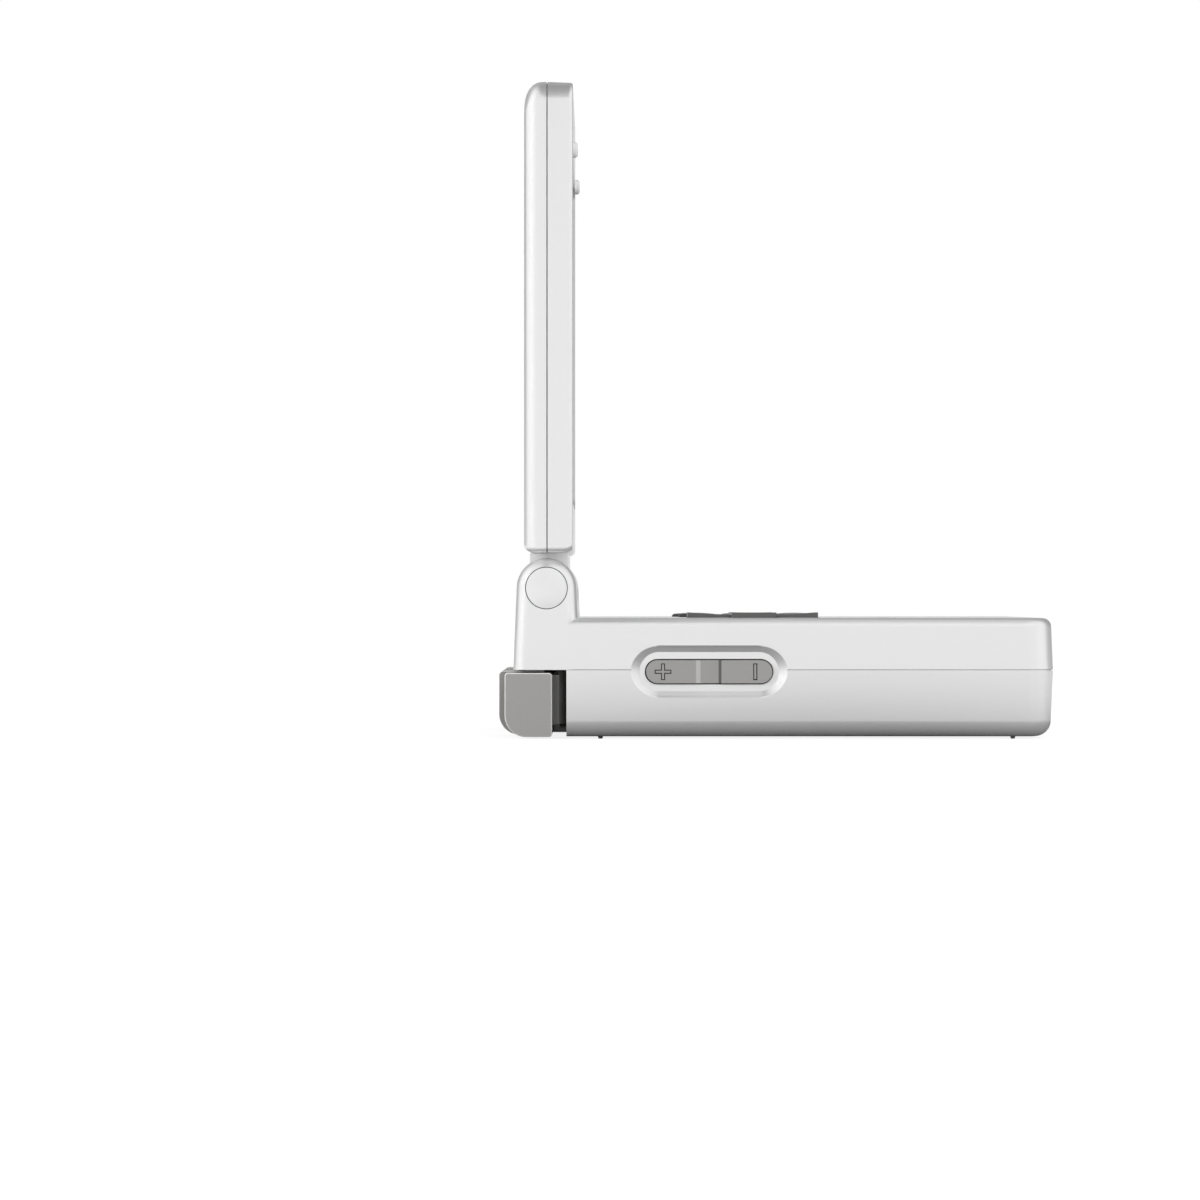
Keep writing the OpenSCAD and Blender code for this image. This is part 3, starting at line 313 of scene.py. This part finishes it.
def joined_copy(node_name, name, merge_flats=True):
    """A new object with a CAD node's mesh, its loose triangles joined and, if asked, flat ones merged."""
    data = frame["nodes"][node_name].data.copy()
    mesh = bmesh.new()
    mesh.from_mesh(data)
    bmesh.ops.remove_doubles(mesh, verts=mesh.verts, dist=JOIN_DISTANCE)
    if merge_flats:
        limit = math.radians(MERGED_FLAT_DEGREES)
        bmesh.ops.dissolve_limit(mesh, angle_limit=limit, verts=mesh.verts, edges=mesh.edges)
    mesh.to_mesh(data)
    mesh.free()
    data.name = name
    piece = bpy.data.objects.new(name, data)
    bpy.context.scene.collection.objects.link(piece)
    return piece


def bake_modifiers(piece):
    """Makes a piece's mesh what its modifiers show, and takes them off."""
    view = bpy.context.evaluated_depsgraph_get()
    baked = bpy.data.meshes.new_from_object(piece.evaluated_get(view))
    piece.modifiers.clear()
    piece.data = baked


def cut_with(piece, cutter):
    """Takes a cutter's volume out of a piece."""
    cut = piece.modifiers.new("cut", "BOOLEAN")
    cut.object = cutter
    cut.solver = "EXACT"
    bake_modifiers(piece)


# ---------- the volume rocker's engraved signs ----------

SIGN_REACH = 7.38 * MM
SIGN_LENGTH = 2.68 * MM
SIGN_WIDTH = 0.66 * MM
GROOVE_WIDTH = 0.16 * MM
GROOVE_DEPTH = 0.3 * MM
ISLAND_SINK = 0.03 * MM
CUT_OVER = 0.3 * MM  # how far a sign's cutter stands out of the face
RAMP_REACH = 2.5 * MM  # from the rocker's middle, past both slopes of its raised grip
RAMP_LEAN = (0.3, 0.98)  # how much a slope faces outwards, where 1 is a face and 0 a wall
# The rocker's materials after its own grey: black painted shade in the sign grooves, then a painted highlight and
# painted shade on the grip's slopes.
UNDER_SIGN, PAINTED_LIT_SLOPE, PAINTED_SHADED_SLOPE = 1, 2, 3  # the rocker's materials after its own grey


def plus_outline(length, width):
    """Corners of a plus sign."""
    a, b = length / 2, width / 2
    return [(-b, -a), (b, -a), (b, -b), (a, -b), (a, b), (b, b),
            (b, a), (-b, a), (-b, b), (-a, b), (-a, -b), (-b, -b)]


def minus_outline(length, width):
    """Corners of the minus sign, which stands across the rocker."""
    a, b = length / 2, width / 2
    return [(-b, -a), (b, -a), (b, a), (-b, a)]


def sign_cutter(name, outline, centre, face_x):
    """A trench round a sign's outline, with the sign left standing as an island just below the face."""
    mesh = bmesh.new()
    outer = outline(SIGN_LENGTH, SIGN_WIDTH)
    inner = outline(SIGN_LENGTH - 2 * GROOVE_WIDTH, SIGN_WIDTH - 2 * GROOVE_WIDTH)
    above, island, below = face_x - CUT_OVER, face_x + ISLAND_SINK, face_x + GROOVE_DEPTH
    rings = []
    for points, x in ((outer, above), (outer, below), (inner, below), (inner, island)):
        rings.append([mesh.verts.new((x, centre[0] + u, centre[1] + v)) for u, v in points])
    count = len(outer)
    for first, second in zip(rings, rings[1:]):
        for i in range(count):
            mesh.faces.new((first[i], first[(i + 1) % count], second[(i + 1) % count], second[i]))
    mesh.faces.new(rings[0])
    mesh.faces.new(rings[-1])
    bmesh.ops.recalc_face_normals(mesh, faces=mesh.faces)
    data = bpy.data.meshes.new(name)
    mesh.to_mesh(data)
    mesh.free()
    cutter = bpy.data.objects.new(name, data)
    bpy.context.scene.collection.objects.link(cutter)
    return cutter


def engraved_rocker():
    """The volume rocker with a groove round each sign, its floor and walls painted black as shade, and its grip's
    slopes toned: a painted highlight on the slope that faces the front, painted shade on the other.
    """
    rocker = joined_copy("volume_rocker", "volume_rocker_engraved")
    low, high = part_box("volume_rocker")
    middle = (low + high) / 2
    signs = [("plus", plus_outline, middle.y + SIGN_REACH), ("minus", minus_outline, middle.y - SIGN_REACH)]
    for label, outline, y in signs:
        cutter = sign_cutter("cut_" + label, outline, (y, middle.z), low.x)
        cut_with(rocker, cutter)
        bpy.data.objects.remove(cutter)
    rocker.data.materials.clear()
    for finish in (CONTROL_GREY, BLACK_INSIDE_AND_PAINTED_SHADE, SLOPE_PAINTED_HIGHLIGHT, GREY_PAINTED_SHADE):
        rocker.data.materials.append(finish)
    sign_half = SIGN_LENGTH / 2 + GROOVE_WIDTH / 2
    under_island, under_groove = low.x + 1.5 * ISLAND_SINK, low.x + GROOVE_DEPTH + ISLAND_SINK
    # Groove faces get black painted shade; the slopes get a painted highlight where they face the front and
    # painted shade where they face back.
    for face in rocker.data.polygons:
        sunk = under_island < face.center.x < under_groove
        along = abs(abs(face.center.y - middle.y) - SIGN_REACH)
        across = abs(face.center.z - middle.z)
        face.material_index = UNDER_SIGN if sunk and along < sign_half and across < sign_half else 0
        leaning = RAMP_LEAN[0] < -face.normal.x < RAMP_LEAN[1]
        if leaning and abs(face.center.y - middle.y) < RAMP_REACH:
            face.material_index = PAINTED_LIT_SLOPE if face.normal.y < 0 else PAINTED_SHADED_SLOPE
    finish_node(rocker, 0)
    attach(rocker, "volume_rocker")
    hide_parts("volume_rocker")


engraved_rocker()


# ---------- the outer triggers, with painted shade on the web in front of their bodies ---

WEB_REACH = 1.2 * MM
WEB_SLACK = 0.02 * MM
TRIGGER_EDGE_WIDTH = 0.16 * MM
WEB_SLOT = 2


def finished_trigger(node_name):
    """An outer trigger with a painted highlight on its edges, whose web carries painted shade."""
    trigger = joined_copy(node_name, node_name + "_finished")
    trigger.data.materials.clear()
    for finish in (CONTROL_GREY, GREY_EDGE_PAINTED_HIGHLIGHT, GREY_PAINTED_SHADE):
        trigger.data.materials.append(finish)
    finish_node(trigger, TRIGGER_EDGE_WIDTH, edge_slot=1)
    bake_modifiers(trigger)
    web_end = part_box(node_name)[0].y + WEB_REACH - WEB_SLACK
    # Faces of the web in front of the body take the dark grey: painted shade.
    for face in trigger.data.polygons:
        if face.center.y < web_end:
            face.material_index = WEB_SLOT
    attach(trigger, node_name)
    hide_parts(node_name)


for node_name in ("shoulder_l1", "shoulder_r1"):
    finished_trigger(node_name)


# ---------- pieces made of stacked outlines ----------

PIECE_JOIN_DISTANCE = 0.001 * MM


def add_piece(name, mesh, materials, body=None, corner_degrees=CORNER_DEGREES):
    """An object of a finished bmesh, smooth but for its corners, riding on a body where one is named."""
    bmesh.ops.remove_doubles(mesh, verts=mesh.verts, dist=PIECE_JOIN_DISTANCE)
    bmesh.ops.recalc_face_normals(mesh, faces=mesh.faces)
    for face in mesh.faces:
        face.smooth = True
    for edge in mesh.edges:
        edge.smooth = len(edge.link_faces) == 2 and edge.calc_face_angle(0) < math.radians(corner_degrees)
    data = bpy.data.meshes.new(name)
    mesh.to_mesh(data)
    mesh.free()
    piece = bpy.data.objects.new(name, data)
    for material in materials:
        data.materials.append(material)
    bpy.context.scene.collection.objects.link(piece)
    if body:
        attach(piece, body)
    return piece


def join_loops(mesh, loops, ring=False, indices=None):
    """Skins a stack of loops of 3-D points and closes its ends, or joins them where it is a ring.

    indices gives each skin's material.
    """
    rows = [[mesh.verts.new(point) for point in loop] for loop in loops]
    pairs = list(zip(rows, rows[1:])) + ([(rows[-1], rows[0])] if ring else [])
    count = len(rows[0])
    for step, (first, second) in enumerate(pairs):
        for i in range(count):
            j = (i + 1) % count
            face = mesh.faces.new((first[i], first[j], second[j], second[i]))
            face.material_index = indices[step] if indices else 0
    if not ring:
        mesh.faces.new(rows[0])
        mesh.faces.new(rows[-1])


ROUND_END_STEPS = 24


def stadium_loop(length, width):
    """Points of a long rounded outline, running along the first axis."""
    points = []
    for side in (1, -1):
        for i in range(ROUND_END_STEPS + 1):
            turn = math.pi * (i / ROUND_END_STEPS - 0.5) + (0 if side > 0 else math.pi)
            end = side * (length - width) / 2
            points.append((end + width / 2 * math.cos(turn), width / 2 * math.sin(turn)))
    return points


# ---------- the volume rocker's well, and the groove along the case's parting line ----------

rocker_low, rocker_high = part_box("volume_rocker")
ROCKER_Y = (rocker_low.y + rocker_high.y) / 2
ROCKER_Z = (rocker_low.z + rocker_high.z) / 2
SIDE_X = -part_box("base_lower_shell")[0].x
WELL_FLOOR = (22.3 * MM, 6.3 * MM)
OLD_WELL = {"depth": 1.15 * MM, "mouth": (25.3 * MM, 8.45 * MM)}
NEW_WELL = {"depth": 0.78 * MM, "mouth": (25.42 * MM, 9.2 * MM)}
MOUTH_DEPTH = -0.05 * MM  # the mouth's measures are those just outside the case
ROCKER_HOLE = (20.66 * MM, 4.16 * MM)
LINER_SKIN = 0.2 * MM
LINER_BACK_OVER = 0.05 * MM
SKIRT_OVER = 0.4 * MM
MEETING_HALVINGS = 30
WELL_CUT_OVER = 0.6 * MM

PARTING_Z = 11.1 * MM
PARTING_GROOVE_WIDTH = 0.16 * MM
PARTING_GROOVE_DEPTH = 0.3 * MM
PARTING_CUT_ABOVE = 0.1 * MM
PARTING_CUT_OUTSIDE = 1 * MM
CASE_CORNER_RADIUS = 4.6 * MM
CASE_CORNER_STEPS = 10


def well_outline(well, depth):
    """Length and width of a well's outline at a depth under the side."""
    share = (well["depth"] - depth) / (well["depth"] - MOUTH_DEPTH)
    return [WELL_FLOOR[i] + share * (well["mouth"][i] - WELL_FLOOR[i]) for i in (0, 1)]


def grown(sides, margin):
    """An outline's length and width with a margin added to each."""
    return [side + margin for side in sides]


def outside_stadium(point, length, width):
    """How far a point lies outside a long rounded outline; less than nothing inside it."""
    along = max(abs(point[0]) - (length - width) / 2, 0)
    return math.hypot(along, point[1]) - width / 2


def on_left_side(points, depths):
    """Places outline points on the console's left side, each at its depth under it."""
    return [(-SIDE_X + depth, ROCKER_Y + u, ROCKER_Z + v) for (u, v), depth in zip(points, depths)]


def well_meeting_depth(index):
    """Depth at which the flatter well face comes out of the CAD's steeper one, at one outline point."""
    shallow, deep = MOUTH_DEPTH, NEW_WELL["depth"]
    for _ in range(MEETING_HALVINGS):
        middle = (shallow + deep) / 2
        point = stadium_loop(*well_outline(NEW_WELL, middle))[index]
        if outside_stadium(point, *well_outline(OLD_WELL, middle)) < 0:
            deep = middle
        else:
            shallow = middle
    return deep


def rocker_well_liner():
    """A ring that fills the steep CAD well to the flatter one, with the hole round the rocker painted black as
    shade.
    """
    count = len(stadium_loop(*WELL_FLOOR))
    meeting = [well_meeting_depth(i) for i in range(count)]
    rim_sides = [well_outline(NEW_WELL, depth) for depth in meeting]
    rim = [stadium_loop(*sides)[i] for i, sides in enumerate(rim_sides)]
    under = [stadium_loop(*grown(sides, LINER_SKIN))[i] for i, sides in enumerate(rim_sides)]
    back = OLD_WELL["depth"] + LINER_BACK_OVER
    skirt = stadium_loop(*grown(WELL_FLOOR, SKIRT_OVER))
    hole = stadium_loop(*ROCKER_HOLE)
    loops = [
        on_left_side(hole, [back] * count),
        on_left_side(hole, [NEW_WELL["depth"]] * count),
        on_left_side(stadium_loop(*WELL_FLOOR), [NEW_WELL["depth"]] * count),
        on_left_side(rim, meeting),
        on_left_side(under, [depth + LINER_SKIN for depth in meeting]),
        on_left_side(skirt, [back] * count),
    ]
    mesh = bmesh.new()
    # The hole's walls and the hidden back take the black: painted shade round the rocker.
    join_loops(mesh, loops, ring=True, indices=[1, 0, 0, 0, 0, 1])
    add_piece("rocker_well_liner", mesh, [SHELL, BLACK_INSIDE_AND_PAINTED_SHADE], "base", corner_degrees=20)


def well_cutter():
    """The flatter well's volume, standing out of the side."""
    mesh = bmesh.new()
    count = len(stadium_loop(*WELL_FLOOR))
    mouth = NEW_WELL["mouth"]
    steps = ((WELL_FLOOR, NEW_WELL["depth"]), (mouth, MOUTH_DEPTH), (mouth, -WELL_CUT_OVER))
    join_loops(mesh, [on_left_side(stadium_loop(*sides), [depth] * count) for sides, depth in steps])
    return add_piece("well_cutter", mesh, [])


def case_outline(inset):
    """The case's outline at its parting line, moved in."""
    low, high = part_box("base_lower_shell")
    radius = CASE_CORNER_RADIUS - inset
    corners = [(high.x, low.y, -90), (high.x, high.y, 0), (low.x, high.y, 90), (low.x, low.y, 180)]
    points = []
    for x, y, start in corners:
        centre_x = x - math.copysign(inset + radius, x)
        centre_y = y + (inset + radius if y == low.y else -inset - radius)
        for i in range(CASE_CORNER_STEPS + 1):
            turn = math.radians(start + 90 * i / CASE_CORNER_STEPS)
            points.append((centre_x + radius * math.cos(turn), centre_y + radius * math.sin(turn)))
    return points


def parting_cutter():
    """A thin frame that cuts a rebate into the lower shell's top edge, all round."""
    mesh = bmesh.new()
    low, high = PARTING_Z - PARTING_GROOVE_WIDTH, PARTING_Z + PARTING_CUT_ABOVE
    inner, outer = PARTING_GROOVE_DEPTH, -PARTING_CUT_OUTSIDE
    corners = ((inner, low), (inner, high), (outer, high), (outer, low))
    loops = [[(x, y, z) for x, y in case_outline(inset)] for inset, z in corners]
    join_loops(mesh, loops, ring=True)
    return add_piece("parting_cutter", mesh, [])


def cut_shell(node_name, cutters, merge_flats):
    """A base shell with the cutters' volumes taken out, all in the shell's own finish."""
    shell = joined_copy(node_name, node_name + "_finished", merge_flats)
    for cutter in cutters:
        cut_with(shell, cutter)
    shell.data.materials.clear()
    shell.data.materials.append(SHELL)
    for face in shell.data.polygons:
        face.material_index = 0
    finish_node(shell, 0)
    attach(shell, "base")
    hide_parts(node_name)


rocker_well_liner()
well_cut, parting_cut = well_cutter(), parting_cutter()
cut_shell("base_upper_shell", [well_cut], merge_flats=False)
cut_shell("base_lower_shell", [well_cut, parting_cut], merge_flats=True)
for cutter in (well_cut, parting_cut):
    bpy.data.objects.remove(cutter)


# ---------- the slanted guard that closes the gap in front of an outer trigger, in painted shade ---

GUARD_LOW_Z = 2.44 * MM
GUARD_HIGH_Z = 10.85 * MM
GUARD_SKIN = 0.35 * MM
GUARD_BEND_MM = ((39.72, 34.9), (39.66, 34.45), (39.35, 34.0), (38.75, 33.5))  # the right one's outer face


def trigger_guards():
    """An upright bent plate on each side, between the case and the outer trigger's web, in a dark grey that is
    painted shade.
    """
    outer = [(x * MM, y * MM) for x, y in GUARD_BEND_MM]
    inner = [(x - GUARD_SKIN, y) for x, y in reversed(outer)]
    for side, label in ((-1, "left"), (1, "right")):
        mesh = bmesh.new()
        loops = [[(side * x, y, z) for x, y in outer + inner] for z in (GUARD_LOW_Z, GUARD_HIGH_Z)]
        join_loops(mesh, loops)
        add_piece("trigger_guard_" + label, mesh, [GREY_PAINTED_SHADE], "base", corner_degrees=50)


trigger_guards()


# ---------- the wire mesh behind the speaker slots ----------

SPEAKER_WIDTH = 11.4 * MM
SPEAKER_DEPTH = 8.6 * MM
SPEAKER_X = 23.0 * MM
SPEAKER_Y = -33.175 * MM
SPEAKER_MESH_Z = 17.9 * MM  # just over the speakers, in the slots of the deck
WIRE_SPACING = 0.5 * MM
WIRE_THICKNESS = 0.16 * MM
WEAVE_LIFT = 0.4  # how far the second row lies over the first, as a share of a wire's thickness


def wire_mesh_tree():
    """Two crossed rows of thin wires over a rectangle, laid as instances and made real.

    Returned with the identifiers of its inputs, by their labels.
    """
    tree = bpy.data.node_groups.new("wire_mesh", "GeometryNodeTree")
    tree.interface.new_socket("Geometry", in_out="OUTPUT", socket_type="NodeSocketGeometry")
    inputs = [(label, "NodeSocketFloat") for label in ("Width", "Depth", "Spacing", "Wire")]
    identifiers = {}
    for label, kind in inputs + [("Finish", "NodeSocketMaterial")]:
        socket = tree.interface.new_socket(label, in_out="INPUT", socket_type=kind)
        identifiers[label] = socket.identifier
    nodes, links = tree.nodes, tree.links
    ins, outs = nodes.new("NodeGroupInput"), nodes.new("NodeGroupOutput")
    join = nodes.new("GeometryNodeJoinGeometry")
    for across, along, axis in (("Width", "Depth", 0), ("Depth", "Width", 1)):
        count = math_node(nodes, links, "DIVIDE", ins.outputs[across], ins.outputs["Spacing"])
        half = math_node(nodes, links, "MULTIPLY", ins.outputs[across], -0.5)
        row = nodes.new("GeometryNodeMeshLine")
        start, step = nodes.new("ShaderNodeCombineXYZ"), nodes.new("ShaderNodeCombineXYZ")
        links.new(half, start.inputs[axis])
        links.new(ins.outputs["Spacing"], step.inputs[axis])
        lift = math_node(nodes, links, "MULTIPLY", ins.outputs["Wire"], WEAVE_LIFT * axis)
        links.new(lift, start.inputs[2])
        links.new(count, row.inputs["Count"])
        links.new(start.outputs[0], row.inputs["Start Location"])
        links.new(step.outputs[0], row.inputs["Offset"])
        bar = nodes.new("GeometryNodeMeshCube")
        size = nodes.new("ShaderNodeCombineXYZ")
        links.new(ins.outputs["Wire"], size.inputs[axis])
        links.new(ins.outputs[along], size.inputs[1 - axis])
        links.new(ins.outputs["Wire"], size.inputs[2])
        links.new(size.outputs[0], bar.inputs["Size"])
        laid = nodes.new("GeometryNodeInstanceOnPoints")
        links.new(row.outputs["Mesh"], laid.inputs["Points"])
        links.new(bar.outputs["Mesh"], laid.inputs["Instance"])
        links.new(laid.outputs["Instances"], join.inputs["Geometry"])
    real = nodes.new("GeometryNodeRealizeInstances")
    coat = nodes.new("GeometryNodeSetMaterial")
    links.new(join.outputs["Geometry"], real.inputs["Geometry"])
    links.new(real.outputs["Geometry"], coat.inputs["Geometry"])
    links.new(ins.outputs["Finish"], coat.inputs["Material"])
    links.new(coat.outputs["Geometry"], outs.inputs["Geometry"])
    return tree, identifiers


def speaker_meshes():
    """A flat piece of wire mesh over each speaker, at the bottom of its slots."""
    tree, identifiers = wire_mesh_tree()
    values = {"Width": SPEAKER_WIDTH, "Depth": SPEAKER_DEPTH, "Spacing": WIRE_SPACING,
              "Wire": WIRE_THICKNESS, "Finish": STEEL}
    for side, label in ((-1, "left"), (1, "right")):
        name = "speaker_mesh_" + label
        piece = bpy.data.objects.new(name, bpy.data.meshes.new(name))
        bpy.context.scene.collection.objects.link(piece)
        weave = piece.modifiers.new("weave", "NODES")
        weave.node_group = tree
        for socket_label, value in values.items():
            weave[identifiers[socket_label]] = value
        bake_modifiers(piece)
        piece.data.transform(Matrix.Translation((side * SPEAKER_X, SPEAKER_Y, SPEAKER_MESH_Z)))
        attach(piece, "base")


speaker_meshes()


# ---------- painted shade in the gaps round the hinge caps ---

CAP_GAP_INNER = 3.29 * MM
CAP_GAP_OUTER = 3.4 * MM
CAP_GAP_BOTTOM = 1.4 * MM  # under the cap's crown
CAP_GAP_TOP = 0.42 * MM
CAP_GAP_STEPS = 96


def cap_gap_rings():
    """A thin black ring round the hinge's axis on each side, in the gap between a cap and its ear: painted shade.
    """
    crown_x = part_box("hinge_cap_right")[1].x
    bottom, top = crown_x - CAP_GAP_BOTTOM, crown_x - CAP_GAP_TOP
    turns = [2 * math.pi * i / CAP_GAP_STEPS for i in range(CAP_GAP_STEPS)]
    corners = ((CAP_GAP_INNER, bottom), (CAP_GAP_INNER, top), (CAP_GAP_OUTER, top), (CAP_GAP_OUTER, bottom))
    for side, label in ((-1, "left"), (1, "right")):
        mesh = bmesh.new()
        loops = [[(side * x, HINGE_Y + radius * math.cos(turn), HINGE_Z + radius * math.sin(turn))
                  for turn in turns] for radius, x in corners]
        join_loops(mesh, loops, ring=True)
        add_piece("cap_gap_" + label, mesh, [BLACK_INSIDE_AND_PAINTED_SHADE], "base")


cap_gap_rings()


# ---------- stage, lights and camera ----------

FLOOR_HALF = 6.0
FLOOR_TONE = 0.2
# Near the console the floor's glow in a gloss is held back: a painted shade round it.
FLOOR_NEAR_RADIUS = 0.045  # under the console; from here to the far radius the floor grows white
FLOOR_FAR_RADIUS = 0.13
FLOOR_LIFT_NEAR = 0.86
FLOOR_GLOSS = 0.78

# Levels of the surroundings: what lights matt surfaces, and what a gloss mirrors from each direction.
MATT_WORLD = 0.2
PANEL_LEVEL = 0.845
SIDE_PANEL_GAIN = 0.2
FLANK_LEVEL = 0.22
UPPER_LEVEL = 0.5
# Where one level gives way to the next, as parts of a direction's X (to the right) or Z (up).
FLANK_X = (0.02, 0.45)
BACKDROP_X = (0.90, 0.975)
OVERHEAD_Z = (0.68, 1.0)

FLAG_LOW = (-0.24, 0.018, 0.16)
FLAG_HIGH = (-0.02, 0.056, 0.16)


def smooth_step(nodes, links, value, low, high):
    """0 below low, 1 above high, and a soft rise between them."""
    node = nodes.new("ShaderNodeMapRange")
    node.interpolation_type = "SMOOTHSTEP"
    links.new(value, node.inputs["Value"])
    node.inputs["From Min"].default_value = low
    node.inputs["From Max"].default_value = high
    return node.outputs["Result"]


def blend_values(nodes, links, share, a, b):
    """a where share is nothing, b where it is one."""
    kept = math_node(nodes, links, "MULTIPLY", math_node(nodes, links, "SUBTRACT", 1.0, share), a)
    return math_node(nodes, links, "ADD", kept, math_node(nodes, links, "MULTIPLY", share, b))


def mirror_ray(nodes, links):
    """The Light Path node, and an output that is one where a gloss or a clear piece sees the surroundings."""
    path = nodes.new("ShaderNodeLightPath")
    glossy, clear = path.outputs["Is Glossy Ray"], path.outputs["Is Transmission Ray"]
    return path, math_node(nodes, links, "MAXIMUM", glossy, clear)


def floor_material():
    """A matt floor that is white to the eye, and white in a gloss only away from the console: near it the floor's
    glow is held back, a painted shade over the console's own shade.
    """
    mat = bpy.data.materials.new("pale_floor")
    mat.use_nodes = True
    nodes, links = mat.node_tree.nodes, mat.node_tree.links
    shader = nodes["Principled BSDF"]
    tone = (FLOOR_TONE, FLOOR_TONE, FLOOR_TONE, 1)
    set_sockets(shader, Base_Color=tone, Roughness=0.9, Emission_Color=(1, 1, 1, 1))
    shader.inputs["Specular IOR Level"].default_value = 0.0
    place = nodes.new("ShaderNodeTexCoord")
    away = nodes.new("ShaderNodeVectorMath")
    away.operation = "LENGTH"
    links.new(place.outputs["Object"], away.inputs[0])
    far = smooth_step(nodes, links, away.outputs["Value"], FLOOR_NEAR_RADIUS, FLOOR_FAR_RADIUS)
    seen = blend_values(nodes, links, far, FLOOR_LIFT_NEAR, 1.0)
    path, mirror = mirror_ray(nodes, links)
    lift = math_node(nodes, links, "MULTIPLY", path.outputs["Is Camera Ray"], seen)
    gloss = math_node(nodes, links, "MULTIPLY", far, FLOOR_GLOSS)
    glow = math_node(nodes, links, "MULTIPLY", mirror, gloss)
    links.new(math_node(nodes, links, "ADD", lift, glow), shader.inputs["Emission Strength"])
    return mat


def add_floor():
    """The plain floor that the console stands on."""
    mesh = bpy.data.meshes.new("floor")
    corners = [(x * FLOOR_HALF, y * FLOOR_HALF, 0) for x, y in ((-1, -1), (1, -1), (1, 1), (-1, 1))]
    mesh.from_pydata(corners, [], [(0, 1, 2, 3)])
    floor = bpy.data.objects.new("floor", mesh)
    mesh.materials.append(floor_material())
    bpy.context.scene.collection.objects.link(floor)


def add_world():
    """A white backdrop and pale walls level with the console, mirrored as such, and dimmer ones above it."""
    world = bpy.data.worlds.new("studio")
    bpy.context.scene.world = world
    world.use_nodes = True
    nodes, links = world.node_tree.nodes, world.node_tree.links
    back = nodes["Background"]
    back.inputs["Color"].default_value = (1, 1, 1, 1)
    place = nodes.new("ShaderNodeTexCoord")
    parts = nodes.new("ShaderNodeSeparateXYZ")
    links.new(place.outputs["Generated"], parts.inputs[0])
    flank = smooth_step(nodes, links, parts.outputs["X"], *FLANK_X)
    backdrop = smooth_step(nodes, links, parts.outputs["X"], *BACKDROP_X)
    overhead = smooth_step(nodes, links, parts.outputs["Z"], *OVERHEAD_Z)
    sideways = math_node(nodes, links, "ABSOLUTE", parts.outputs["Y"])
    gain = math_node(nodes, links, "MULTIPLY", sideways, SIDE_PANEL_GAIN)
    panels = math_node(nodes, links, "ADD", gain, PANEL_LEVEL)
    panels = blend_values(nodes, links, overhead, panels, UPPER_LEVEL)
    mirrored = blend_values(nodes, links, flank, panels, FLANK_LEVEL)
    mirrored = math_node(nodes, links, "MAXIMUM", mirrored, backdrop)
    path, mirror = mirror_ray(nodes, links)
    level = blend_values(nodes, links, mirror, MATT_WORLD, mirrored)
    level = blend_values(nodes, links, path.outputs["Is Camera Ray"], level, 1.0)
    links.new(level, back.inputs["Strength"])


# Name, place, the point aimed at, side of its square, watts.
LAMPS = (
    ("key", (-0.80, -0.24, 0.46), (0, 0, 0.05), 0.45, 3.3),
    ("left_rear_fill", (-0.6, 0.75, 0.3), (0, 0, 0.04), 0.4, 7.0),
    ("front_fill", (-0.3, -0.8, 0.12), (0, 0, 0.02), 0.4, 2.6),
    ("right_fill", (1.1, -0.7, 0.9), (0, 0, 0.04), 0.8, 8.0),
    ("rear_fill", (0.7, 1.2, 0.8), (0, 0, 0.04), 0.8, 7.0),
)


def add_lamp(name, place, aim, side, watts):
    """A square soft lamp that a gloss doesn't show."""
    light = bpy.data.lights.new(name, "AREA")
    light.shape = "RECTANGLE"
    light.size = side
    light.size_y = side
    light.energy = watts
    lamp = bpy.data.objects.new(name, light)
    lamp.location = place
    lamp.visible_glossy = False
    lamp.rotation_euler = (Vector(aim) - Vector(place)).to_track_quat("-Z", "Y").to_euler()
    bpy.context.scene.collection.objects.link(lamp)


CAMERA_X = -0.8925  # 850 mm from the console's left side
VIEW_Y = HINGE_Y - 8.58 * MM
VIEW_Z = 22.28 * MM
LENS_MM = 159.4
SENSOR_MM = 36.0
CLIP_START = 10 * MM


def add_camera():
    """The photograph's view, square on to the left side."""
    data = bpy.data.cameras.new("camera")
    data.lens = LENS_MM
    data.sensor_width = SENSOR_MM
    data.clip_start = CLIP_START
    camera = bpy.data.objects.new("camera", data)
    camera.location = (CAMERA_X, VIEW_Y, VIEW_Z)
    camera.rotation_euler = Vector((1, 0, 0)).to_track_quat("-Z", "Y").to_euler()
    bpy.context.scene.collection.objects.link(camera)
    bpy.context.scene.camera = camera


def add_flag():
    """A small black flag above the lid's left top corner, seen only in gloss."""
    black = bpy.data.materials.new("black_flag")
    black.use_nodes = True
    set_sockets(black.node_tree.nodes["Principled BSDF"], Base_Color=(0.02, 0.02, 0.02, 1), Roughness=1.0)
    mesh = bpy.data.meshes.new("flag")
    low, high = Vector(FLAG_LOW), Vector(FLAG_HIGH)
    mesh.from_pydata([low, (high.x, low.y, low.z), high, (low.x, high.y, low.z)], [], [(0, 1, 2, 3)])
    mesh.materials.append(black)
    flag = bpy.data.objects.new("flag", mesh)
    for ray in ("camera", "diffuse", "shadow", "transmission"):
        setattr(flag, "visible_" + ray, False)
    bpy.context.scene.collection.objects.link(flag)


add_floor()
add_world()
add_flag()
for lamp in LAMPS:
    add_lamp(*lamp)
add_camera()
bpy.context.scene.view_settings.view_transform = "Standard"
